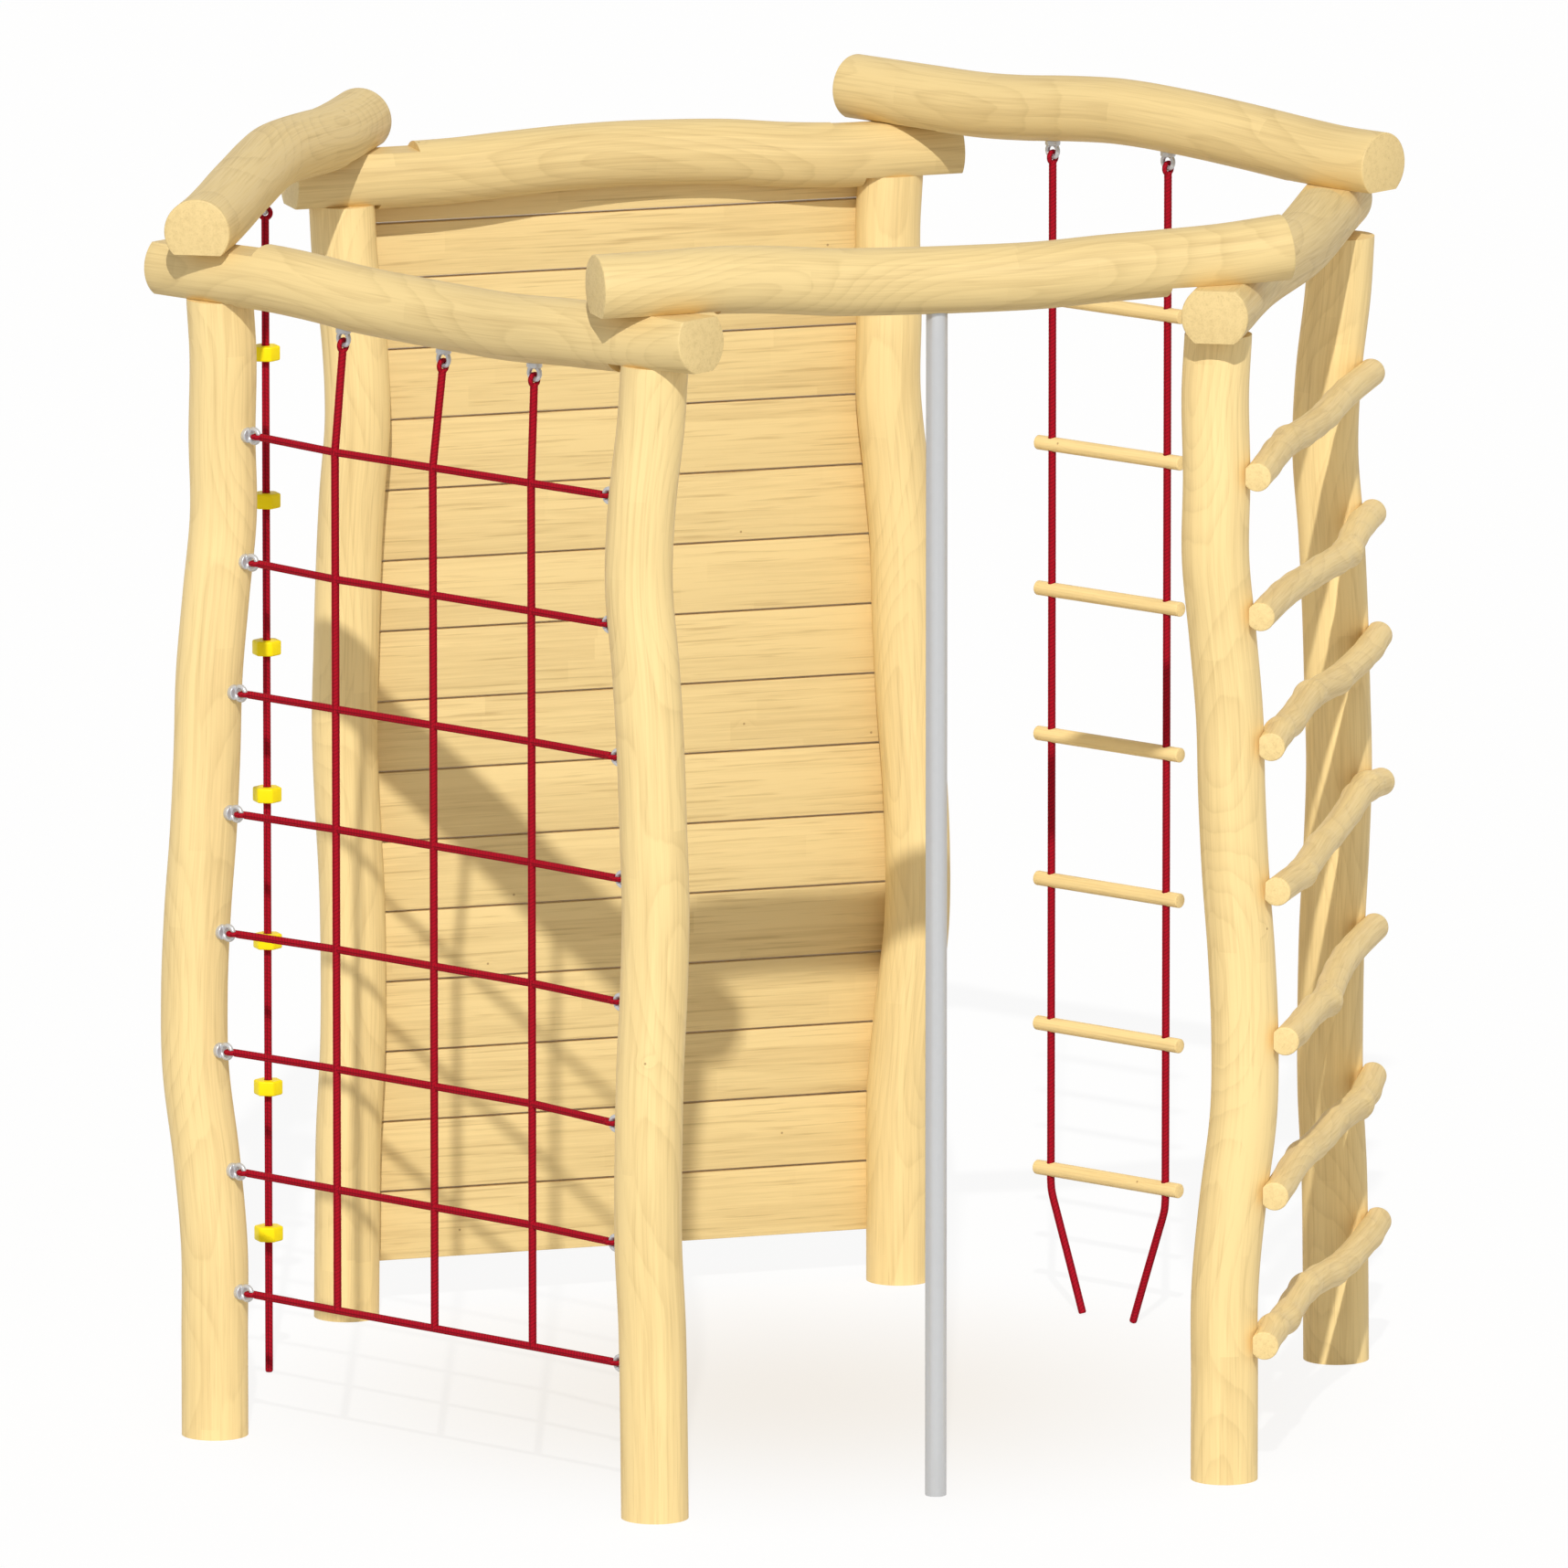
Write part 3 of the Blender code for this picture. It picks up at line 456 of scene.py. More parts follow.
def wood_finish(
    name, radius, ring_width, ring_share, pith=(0.0, 0.0), drift=0.04, dashes=0.25, shade=1.0
):
    """Pale wood whose grain follows the piece: growth rings about a wandering pith, long streaks,
    short dashes, faint glued blocks and a few small knots. A radius of zero means a flat board."""
    wood = Finish(name, Specular_IOR_Level=0.35)
    grain = wood.attribute("grain")
    first, second, run = wood.split(grain)
    place = wood.join(first, second)
    across, stave = wood_staves(wood, radius, first, second)
    knot, bend = wood_knots(wood, across, run)

    wander = wood.noise(grain, (0.0, 0.0, PITH_REPEATS), 0.0, "Color")
    wander = wood.vector("SUBTRACT", wander, (0.5, 0.5, 0.5))
    wander = wood.vector("MULTIPLY", wander, (drift, drift, 0.0))
    centre = wood.vector("ADD", wander, (*pith, 0.0))
    reach = wood.vector("LENGTH", wood.vector("SUBTRACT", place, centre), output="Value")
    ripple = wood.scaled(wood.noise(grain, RIPPLE_REPEATS), RIPPLE_DEPTH)
    ring = wood.math("ADD", wood.math("ADD", reach, ripple), bend)
    tooth = wood.math("FRACT", wood.math("DIVIDE", ring, ring_width))
    band = wood.math("POWER", tooth, RING_SHARPNESS)
    band = wood.scaled(band, wood.step(tooth, 1.0, RING_EDGE))

    shift = wood.chance(wood.join(stave, BLOCK_SEED))
    block = wood.math("FLOOR", wood.scaled(run, BLOCK_REPEATS, shift))
    tone = wood.math("SUBTRACT", wood.chance(wood.join(stave, block)), 0.5)
    if radius:
        rim = wood.vector("LENGTH", place, output="Value")
        bark_side = wood.step(rim, *(share * radius for share in BARK_SHARES))
        tone = wood.scaled(tone, bark_side)
        fade = wood.scaled(bark_side, 1.0 - END_GRAIN, END_GRAIN)
        band = wood.scaled(band, fade)

    fibre = wood.noise(grain, FIBRE_REPEATS, 3.0)
    dash = wood.step(wood.noise(grain, DASH_REPEATS), *DASH_RANGE)
    dark = wood.scaled(band, ring_share, BASE_DARK)
    dark = wood.sway(dark, fibre, FIBRE_SHARE)
    dark = wood.sway(dark, wood.noise(grain, STREAK_REPEATS), STREAK_SHARE)
    dark = wood.sway(dark, wood.noise(grain, CLOUD_REPEATS, 1.0), CLOUD_SHARE)
    dark = wood.scaled(tone, BLOCK_SHARE, dark)
    dark = wood.scaled(dash, dashes, dark)
    # Shade darkens both tones: a tone of the wood itself for the boards and rungs, and painted
    # shade for the beams
    light, deep = ((*(part * shade for part in tint[:3]), 1.0) for tint in (LIGHT_WOOD, DARK_WOOD))
    colour = wood.blend(dark, light, deep)
    wood.use("Base Color", wood.blend(wood.scaled(knot, KNOT_SHARE), colour, KNOT_BROWN))
    wood.roughen(fibre, *WOOD_ROUGHNESS)
    wood.bump(wood.scaled(band, RING_RELIEF, fibre), *WOOD_BUMP)
    return wood.material


def rope_finish():
    """Crimson braid: slanted stitches in columns, with painted shade between the strands, and fine
    yarns.
    """
    rope = Finish("braided_rope", Roughness=0.75, Specular_IOR_Level=0.12)
    lay = rope.attribute("lay")
    turn, run, _ = rope.split(lay)
    lobes = rope.scaled(turn, float(ROPE_LOBES))
    across = rope.math("SUBTRACT", rope.math("FRACT", lobes), 0.5)
    even = rope.math("MODULO", rope.math("FLOOR", lobes), 2.0)
    side = rope.scaled(even, 2.0, -1.0)
    slant = rope.scaled(rope.scaled(across, side), ROPE_SLANT)
    phase = rope.math("ADD", rope.math("DIVIDE", run, ROPE_STITCH), slant)
    along = rope.math("ABSOLUTE", rope.math("SUBTRACT", rope.math("FRACT", phase), 0.5))
    tick, groove = (
        rope.step(part, GROOVE_START, 0.50) for part in (along, rope.math("ABSOLUTE", across))
    )
    yarn = rope.math("SINE", rope.scaled(phase, ROPE_YARNS * math.tau))
    depth = rope.math("MAXIMUM", tick, groove)
    # Painted shade: the colour darkens in the grooves between strands and stitches, where the braid
    # is deepest
    dark = rope.scaled(yarn, YARN_SHARE, rope.scaled(depth, GROOVE_PAINTED_SHADE))
    dark = rope.sway(dark, rope.noise(lay, FUZZ_REPEATS), FUZZ_SHARE)
    rope.use("Base Color", rope.blend(dark, ROPE_LIGHT, ROPE_DARK_AND_GROOVE_SHADE))
    relief = rope.math("SUBTRACT", rope.scaled(yarn, YARN_RELIEF), depth)
    rope.bump(relief, *ROPE_BUMP)
    return rope.material


def steel_finish():
    """Galvanised steel: pale grey with faint drawn streaks and spangle."""
    steel = Finish("galvanised", Metallic=0.45)
    place = steel.add("ShaderNodeTexCoord", output="Object")
    streak = steel.noise(place, DRAWN_REPEATS)
    cells = {"Vector": steel.vector("MULTIPLY", place, SPANGLE_REPEATS), "Scale": 1.0}
    spangle = steel.split(steel.add("ShaderNodeTexVoronoi", cells, "Color"))[0]
    dark = steel.scaled(spangle, SPANGLE_SHARE, STEEL_DARKNESS)
    tone = steel.sway(dark, streak, DRAWN_SHARE)
    steel.use("Base Color", steel.blend(tone, STEEL_LIGHT, STEEL_DARK))
    steel.roughen(streak, *STEEL_ROUGHNESS)
    steel.bump(streak, *STEEL_BUMP)
    return steel.material


def plastic_finish():
    """Moulded yellow plastic with a fine skin."""
    plastic = Finish("yellow_moulding", Specular_IOR_Level=0.14)
    place = plastic.add("ShaderNodeTexCoord", output="Object")
    skin = plastic.noise(place, SKIN_REPEATS, 1.0)
    cloud = plastic.noise(place, TINT_REPEATS)
    plastic.use("Base Color", plastic.blend(cloud, KNOB_LIGHT, KNOB_DARK))
    plastic.roughen(cloud, *KNOB_ROUGHNESS)
    plastic.bump(skin, *KNOB_BUMP)
    return plastic.material


LOG_WOOD = wood_finish("log_wood", LOG_RADIUS, 0.0042, 0.32, drift=0.065, shade=0.99)
# Painted shade: the beams are the posts' log wood made darker, so that their tops, which face the
# sun and sky, render less bright
SHADED_BEAM_WOOD = wood_finish("beam_wood_painted_shade", LOG_RADIUS, 0.0042, 0.36, drift=0.065, shade=0.86)
LOG_RUNG_WOOD = wood_finish("log_rung_wood", LOG_RUNG_RADIUS, 0.0045, 0.34, drift=0.035, shade=0.95)
RUNG_WOOD = wood_finish("rung_wood", RUNG_RADIUS, 0.0050, 0.30, pith=(0.030, 0.010), drift=0.012)
BOARD_WOOD = wood_finish(
    "board_wood", 0.0, 0.0100, 0.20, pith=(0.055, 0.0), drift=0.030, dashes=0.55, shade=0.885
)
ROPE_RED = rope_finish()
STEEL = steel_finish()
KNOB_YELLOW = plastic_finish()


def scene_object(name, data):
    """An object for a mesh, a lamp or a camera, in the scene."""
    made = bpy.data.objects.new(name, data)
    bpy.context.scene.collection.objects.link(made)
    return made


def sweep(name, points, radii, reference, around=None):
    """A closed tube with one ring at each point, square to the line. Radii hold one value for each
    ring where around gives the points of a ring, or else one value for each point of each ring. The
    turn round the tube starts at the reference direction."""
    line = np.array([tuple(point) for point in points])
    radii = np.array(radii, float)
    if around:
        radii = np.repeat(radii[:, None], around, axis=1)
    rings, around = radii.shape
    heading = np.gradient(line, axis=0)
    heading /= np.linalg.norm(heading, axis=1, keepdims=True)
    start = np.array(tuple(reference))
    side = start - heading * (heading @ start)[:, None]
    side /= np.linalg.norm(side, axis=1, keepdims=True)
    other = np.cross(heading, side)
    turns = np.arange(around) * math.tau / around
    cosines, sines = np.cos(turns)[None, :, None], np.sin(turns)[None, :, None]
    spokes = side[:, None] * cosines + other[:, None] * sines
    places = (line[:, None] + spokes * radii[:, :, None]).reshape(-1, 3)
    ring, step = np.meshgrid(np.arange(rings - 1), np.arange(around), indexing="ij")
    near, far = ring * around, (ring + 1) * around
    after = (step + 1) % around
    quads = np.stack([near + step, near + after, far + after, far + step], axis=-1).reshape(-1, 4)
    last = (rings - 1) * around
    faces = quads.tolist() + [list(range(around - 1, -1, -1)), list(range(last, last + around))]
    mesh = bpy.data.meshes.new(name)
    mesh.from_pydata(places.tolist(), [], faces)
    return scene_object(name, mesh)


def plain(start, end, radius, step):
    """Distances and radii of a bar's rings, with sharp ends."""
    count = max(1, round((end - start) / step))
    return [(start + (end - start) * number / count, radius) for number in range(count + 1)]


def eased(start, end, radius, ease, step):
    """Distances and radii of a bar's rings, with a quarter round on the edge of each end."""
    lead = []
    for number in range(EASE_STEPS + 1):
        angle = math.pi / 2.0 * number / EASE_STEPS
        lead.append((ease - ease * math.cos(angle), radius - ease + ease * math.sin(angle)))
    near = [(start + gap, size) for gap, size in lead]
    far = [(end - gap, size) for gap, size in reversed(lead)]
    return near + plain(start + ease, end - ease, radius, step)[1:-1] + far


def frame_matrix(origin, x_axis, z_axis):
    """Matrix whose local X and Z run along two square directions."""
    y_axis = z_axis.cross(x_axis)
    rotation = Matrix((x_axis, y_axis, z_axis)).transposed()
    return Matrix.Translation(origin) @ rotation.to_4x4()


def primitive(name, shape, matrix):
    """An object from a filled bmesh, moved by a matrix baked into its mesh."""
    bmesh.ops.recalc_face_normals(shape, faces=shape.faces)
    mesh = bpy.data.meshes.new(name)
    shape.to_mesh(mesh)
    shape.free()
    mesh.transform(matrix)
    return scene_object(name, mesh)


def box(name, centre, size, x_axis):
    """A box whose X runs along x_axis and whose Z is up."""
    shape = bmesh.new()
    bmesh.ops.create_cube(shape, size=1.0)
    return primitive(name, shape, frame_matrix(centre, x_axis, UP) @ Matrix.Diagonal((*size, 1.0)))


def prism(sides, radius, depth):
    """A bmesh of a straight bar along Z about the origin."""
    shape = bmesh.new()
    bmesh.ops.create_cone(
        shape, cap_ends=True, segments=sides, radius1=radius, radius2=radius, depth=depth
    )
    return shape


def rod(name, start, end, radius, sides=BORE_SIDES):
    """A straight round bar between two points."""
    direction = end - start
    shape = prism(sides, radius, direction.length)
    z_axis = direction.normalized()
    helper = UP if abs(z_axis.z) < 0.9 else LEVEL[0]
    x_axis = helper.cross(z_axis).normalized()
    return primitive(name, shape, frame_matrix((start + end) / 2.0, x_axis, z_axis))


def settle(piece):
    """Give a piece the mesh that its modifiers make."""
    bpy.context.view_layer.update()
    graph = bpy.context.evaluated_depsgraph_get()
    old_mesh = piece.data
    new_mesh = bpy.data.meshes.new_from_object(piece.evaluated_get(graph), depsgraph=graph)
    piece.modifiers.clear()
    piece.data = new_mesh
    bpy.data.meshes.remove(old_mesh)
    new_mesh.name = piece.name
    return piece


def modify(piece, kind, **settings):
    """Add a modifier to a piece."""
    step = piece.modifiers.new(kind, kind)
    for name, value in settings.items():
        setattr(step, name, value)


def combine(piece, others, operation="DIFFERENCE"):
    """Cut others out of a piece, or join them to it, and remove them."""
    for other in others:
        modify(piece, "BOOLEAN", operation=operation, object=other, solver="EXACT")
    settle(piece)
    for other in others:
        bpy.data.objects.remove(other, do_unlink=True)
    return piece


def dress(piece, material, slot, body, *nodes):
    """Shade a piece, give it its finish, and say what it rides on and stands for."""
    piece.data.materials.clear()
    piece.data.materials.append(material)
    piece.data.shade_smooth()
    piece.data.set_sharp_from_angle(angle=math.radians(SMOOTH_ANGLE))
    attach(piece, body)
    if nodes:
        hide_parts(*nodes)
    return piece


def corner(index):
    """Foot of a post on the ground, counted round the hexagon from the net's left post."""
    angle = math.radians(POSTS[index % 6][1])
    return Vector((HEX_RADIUS * math.cos(angle), HEX_RADIUS * math.sin(angle), 0.0))


def side_frame(index):
    """First corner, direction along the side and outward direction of one side."""
    start = corner(index)
    along = (corner(index + 1) - start).normalized()
    return start, along, along.cross(UP)


def smooth_rows(rows, value):
    """Read a sway table on a smooth curve through its rows: the two columns after the first."""
    last = len(rows) - 1
    index = min(max(bisect.bisect_right([row[0] for row in rows], value) - 1, 0), last - 1)
    before, low, high, after = (rows[min(max(index + step, 0), last)] for step in (-1, 0, 1, 2))
    width = high[0] - low[0]
    share = min(max((value - low[0]) / width, 0.0), 1.0)
    read = []
    for column in (1, 2):
        leave = (high[column] - before[column]) / (high[0] - before[0]) * width
        arrive = (after[column] - low[column]) / (after[0] - low[0]) * width
        rise = high[column] - low[column]
        bend = share * (1.0 - share) * ((leave - rise) * (1.0 - share) - (arrive - rise) * share)
        read.append(low[column] + rise * share + bend)
    return read


class Log:
    """A log along a straight line, with the sway that a table gives to two sides of it."""

    def __init__(self, name, origin, along, sides, rows=STRAIGHT):
        self.name, self.origin, self.along = name, origin, along
        self.sides, self.rows = sides, rows

    def centre(self, distance):
        """Centre of the log's section at a distance along it."""
        first, second = smooth_rows(self.rows, distance)
        return self.origin + self.along * distance + self.sides[0] * first + self.sides[1] * second

    def tube(self, name, rings, around, extra=0.0):
        """A tube along the log, from distances and radii of its rings."""
        points = [self.centre(distance) for distance, _ in rings]
        radii = [radius + extra for _, radius in rings]
        return sweep(name, points, radii, self.sides[0], around)

    def lay_grain(self, piece, seed):
        """Store each point's two offsets from the log's centre, and its distance along the log."""
        places = []
        for vertex in piece.data.vertices:
            distance = (vertex.co - self.origin).dot(self.along)
            offset = vertex.co - self.centre(distance)
            places += [offset.dot(side) for side in self.sides] + [distance + seed * SEED_STEP]
        layer = piece.data.attributes.new("grain", "FLOAT_VECTOR", "POINT")
        layer.data.foreach_set("vector", places)


def post_log(index):
    """The log of one post, measured from its foot."""
    name, _, turn = POSTS[index % 6]
    wide_side = Vector((math.cos(math.radians(turn)), math.sin(math.radians(turn)), 0.0))
    return Log(name, corner(index), UP, (wide_side, UP.cross(wide_side)), POST_SWAY)


def beam_log(index):
    """The log of one beam, measured from its first corner."""
    start, along, outward = side_frame(index)
    name, upper, rows = BEAMS[index]
    origin = start + UP * (HIGH_AXIS if upper else LOW_AXIS)
    return Log(name, origin, along, (UP, outward), rows)


POST_LOGS = [post_log(index) for index in range(6)]
BEAM_LOGS = [beam_log(index) for index in range(6)]


def under_beam(index, distance):
    """Centre of an eye's ring under a beam."""
    return BEAM_LOGS[index].centre(distance) - UP * (LOG_RADIUS + EYE_REACH)


# Ring centres of the hanging ropes' eye bolts, right one first, and the level way between the two
# of the ladder. Distances of the net's upright ropes from its left post.
ROPE_EYE = under_beam(ROPE_SIDE, SIDE / 2.0)
LADDER_EYES = [
    under_beam(LADDER_SIDE, LADDER_MIDDLE + hand * LADDER_GAUGE / 2.0) for hand in (-1, 1)
]
LADDER_SPAN = LADDER_EYES[1] - LADDER_EYES[0]
LADDER_ALONG = Vector((*LADDER_SPAN.xy, 0.0)).normalized()
NET_COLUMNS = [NET_MIDDLE + NET_PITCH * step for step in (-1, 0, 1)]


def link_centre(eye, direction):
    """Centre of a rope's link, which bears on the bar of its eye in the rope's direction."""
    lap = EYE_BAR_RADIUS + LINK_BAR_RADIUS + LINK_GAP
    return eye + direction * (EYE_MEAN_RADIUS + LINK_MEAN_RADIUS - lap)


def rope_start(eye, direction):
    """First point of a rope, where it meets its link."""
    past_centre = LINK_MEAN_RADIUS - LINK_BAR_RADIUS + ROPE_END_GAP
    return link_centre(eye, direction) + direction * past_centre


def smooth_path(route, step):
    """Points about one step apart on a smooth curve through a route."""
    befores = [route[0], *route[:-1]]
    afters = [*route[1:], route[-1]]
    headings = [(after - before).normalized() for before, after in zip(befores, afters)]
    points = [route[0]]
    for start, end, leave, arrive in zip(route, route[1:], headings, headings[1:]):
        third = (end - start).length / 3.0
        count = max(1, round(3.0 * third / step))
        handles = (start + leave * third, end - arrive * third)
        points += interpolate_bezier(start, *handles, end, count + 1)[1:]
    return points


def distances(points):
    """How far along its line each point is."""
    gaps = [(after - before).length for before, after in zip(points, points[1:])]
    return np.concatenate([[0.0], np.cumsum(gaps)])


def braid(name, points, reference):
    """A braided rope: columns of slanted stitches with a groove between them."""
    run = distances(points)
    turn = np.arange(ROPE_AROUND) / ROPE_AROUND
    lobes = turn * ROPE_LOBES
    across = lobes % 1.0 - 0.5
    side = np.where(np.floor(lobes) % 2 > 0.5, 1.0, -1.0)
    phase = run[:, None] / ROPE_STITCH + (across * side * ROPE_SLANT)[None, :]
    lobe = np.cos(across * math.pi) ** LOBE_SHAPE
    stitch = np.abs(np.sin(phase * math.pi)) ** STITCH_SHAPE
    share = 1.0 - LOBE_DEPTH * (1.0 - lobe)[None, :] - STITCH_DEPTH * (1.0 - stitch)
    ends = np.minimum(run, run[-1] - run)
    rounded = ROPE_TIP + (1.0 - ROPE_TIP) * np.sqrt(np.clip(ends / ROPE_END_ROUND, 0.0, 1.0))
    radii = ROPE_RADIUS * share * rounded[:, None]
    rope = sweep(name, points, radii, reference)
    store_lay(rope, run, ROPE_AROUND)
    return rope


def store_lay(rope, run, around):
    """Store turns round the rope and metres along it at the corners of its faces."""
    rings = len(run)
    ring, step = np.meshgrid(np.arange(rings - 1), np.arange(around), indexing="ij")
    turns = np.stack([step, step + 1, step + 1, step], axis=-1) / around
    along = np.stack([run[ring], run[ring], run[ring + 1], run[ring + 1]], axis=-1)
    corners = np.stack([turns, along], axis=-1).reshape(-1, 2)
    turn = np.arange(around) / around
    caps = [np.stack([turn[::-1], np.full(around, run[0])], axis=-1)]
    caps.append(np.stack([turn, np.full(around, run[-1])], axis=-1))
    layer = rope.data.uv_layers.new(name="lay")
    layer.data.foreach_set("uv", np.concatenate([corners, *caps]).ravel())


def torus(name, centre, direction, normal, size, bar, around, steps):
    """A ring of round bar about the normal, which starts at a direction square to it, with turns
    round the bar and metres along it at the corners of its faces."""
    side = normal.cross(direction)
    chord = 2.0 * size * math.sin(math.pi / steps)
    places, faces, lay = [], [], []
    for step in range(steps):
        angle = math.tau * step / steps
        outward = direction * math.cos(angle) + side * math.sin(angle)
        near, far = step * around, (step + 1) % steps * around
        start, end = step * chord, (step + 1) * chord
        for turn in range(around):
            low, high = turn / around, (turn + 1) / around
            spoke = outward * math.cos(low * math.tau) + normal * math.sin(low * math.tau)
            places.append(centre + outward * size + spoke * bar)
            after = (turn + 1) % around
            faces.append((near + turn, far + turn, far + after, near + after))
            lay += [low, start, low, end, high, end, high, start]
    mesh = bpy.data.meshes.new(name)
    mesh.from_pydata(places, [], faces)
    mesh.uv_layers.new(name="lay").data.foreach_set("uv", lay)
    return scene_object(name, mesh)


def hanging_rope(name, eye, inward, normal, route, body):
    """A free rope with the small loop by which it hangs in its eye."""
    top = rope_start(eye, -UP)
    below = [Vector((*eye.xy, height)) + inward * shift for height, shift in route]
    points = smooth_path([top, *below], ROPE_STEP)
    rope = dress(braid(f"{name}_braid", points, normal), ROPE_RED, "red_rope", body, name)
    loop = torus(f"{name}_loop", link_centre(eye, -UP), UP, normal, *LINK_RING)
    dress(loop, ROPE_RED, "red_rope", body, name)


def build_hanging_ropes():
    """The climbing rope and the ladder's two ropes."""
    _, along, outward = side_frame(ROPE_SIDE)
    hanging_rope("climbing_rope", ROPE_EYE, -outward, along, CLIMBING_ROPE_ROUTE, "hanging_rope")
    inwards = (LADDER_ALONG, -LADDER_ALONG)
    for hand, inward, eye in zip(("right", "left"), inwards, LADDER_EYES):
        name = f"ladder_rope_{hand}"
        hanging_rope(name, eye, inward, LADDER_ALONG, LADDER_ROPE_ROUTE, "hanging_ladder")


def make_eye_mesh():
    """Forged eye bolt about its ring's centre, shank up the local Z, ring in the local XZ plane."""
    eye = torus("eye", Vector(), *LEVEL, *EYE_RING)
    low, high = EYE_REACH - EYE_COLLAR_LENGTH, EYE_REACH + COLLAR_SUNK
    rings = eased(low, high, EYE_COLLAR_RADIUS, COLLAR_EASE, COLLAR_STEP)
    collar = Log("collar", Vector(), UP, LEVEL).tube("collar", rings, COLLAR_AROUND)
    shank = rod("shank", UP * EYE_REACH, UP * SHANK_END, SHANK_RADIUS)
    combine(eye, [collar, shank], "UNION")
    modify(eye, "REMESH", mode="VOXEL", voxel_size=EYE_VOXEL)
    modify(eye, "SMOOTH", iterations=EYE_SOFTENINGS)
    settle(eye)
    mesh = eye.data.copy()
    bpy.data.objects.remove(eye, do_unlink=True)
    return mesh


def eye_bolt(name, centre, ring_side, shank_direction, *nodes):
    """One eye bolt: ring_side is a direction in the ring's plane, square to the shank."""
    mesh = EYE_MESH.copy()
    mesh.transform(frame_matrix(centre, ring_side, shank_direction))
    return dress(scene_object(name, mesh), STEEL, "galvanised_steel", "frame", *nodes)


def eye_bore(centre, shank_direction):
    """Cutter for an eye bolt's hole."""
    start = centre + shank_direction * (EYE_REACH - EYE_COLLAR_LENGTH)
    end = centre + shank_direction * (SHANK_END + SHANK_PLAY)
    return rod("bore", start, end, SHANK_RADIUS + SHANK_PLAY)


def net_post_eyes():
    """Centres of the net's eyes on its left and right posts, row by row."""
    _, along, _ = side_frame(NET_SIDE)
    reach = LOG_RADIUS + EYE_REACH
    left = [POST_LOGS[0].centre(height) + along * reach for height in NET_ROWS]
    right = [POST_LOGS[1].centre(height) - along * reach for height in NET_ROWS]
    return left, right


def rod_bore(index):
    """Cutter for a corner's threaded rod."""
    foot = corner(index)
    return rod("rod_bore", foot + UP * ROD_BOTTOM, foot + UP * ROD_TOP, ROD_RADIUS)


def wall_rebate():
    """Cutter for the rebate on the outer side of two posts and a beam, in which the wall lies."""
    start, along, outward = side_frame(WALL_SIDE)
    low, high = BOARD_BOTTOM - BOARD_GAP, WALL_TOP
    level = WALL_SET_BACK - BOARD_THICKNESS / 2.0 - SEAT_GAP + CUT_DEPTH / 2.0
    centre = start + along * SIDE / 2.0 + outward * level + UP * (low + high) / 2.0
    return box("wall_rebate", centre, (SIDE + 2.0 * REBATE_PLAY, CUT_DEPTH, high - low), along)


def build_posts():
    """Six wavy posts, bored for the corner rods and the net's eye bolts, rebated for the wall."""
    left_eyes, right_eyes = net_post_eyes()
    _, net_along, _ = side_frame(NET_SIDE)
    half = CUT_DEPTH / 2.0
    size = (4.0 * LOG_RADIUS, 4.0 * LOG_RADIUS, CUT_DEPTH)
    for index, log in enumerate(POST_LOGS):
        rings = plain(-half, POST_HEIGHT + half, LOG_RADIUS, LOG_STEP)
        post = log.tube(f"{log.name}_wood", rings, LOG_AROUND)
        foot = corner(index)
        cutters = [
            box("foot_cut", foot - UP * half, size, net_along),
            box("top_cut", foot + UP * (POST_HEIGHT + half), size, net_along),
            rod_bore(index),
        ]
        if index == NET_SIDE:
            cutters += [eye_bore(eye, -net_along) for eye in left_eyes]
        if index == NET_SIDE + 1:
            cutters += [eye_bore(eye, net_along) for eye in right_eyes]
        if index in (WALL_SIDE, WALL_SIDE + 1):
            cutters.append(wall_rebate())
        combine(post, cutters)
        log.lay_grain(post, index)
        dress(post, LOG_WOOD, "debarked_log", "frame", log.name)


def seat_cutter(index, first_end, level, above, reach):
    """Block that cuts a level seat on one end of a beam."""
    start, along, _ = side_frame(index)
    outer = -2.0 * BEAM_OVERHANG
    near, far = (outer, reach) if first_end else (SIDE - reach, SIDE - outer)
    middle = start + along * (near + far) / 2.0
    centre = middle + UP * (level + (CUT_DEPTH / 2.0 if above else -CUT_DEPTH / 2.0))
    return box("seat", centre, (far - near, 4.0 * LOG_RADIUS, CUT_DEPTH), along)


def post_seat_reach(index, first_end):
    """How far a lower beam's seat runs past its corner, over the post's own top."""
    _, along, _ = side_frame(index)
    post = (index if first_end else index + 1) % 6
    lean = (POST_LOGS[post].centre(POST_HEIGHT) - corner(post)).dot(along if first_end else -along)
    return LOG_RADIUS + lean + LOW_SEAT_MARGIN


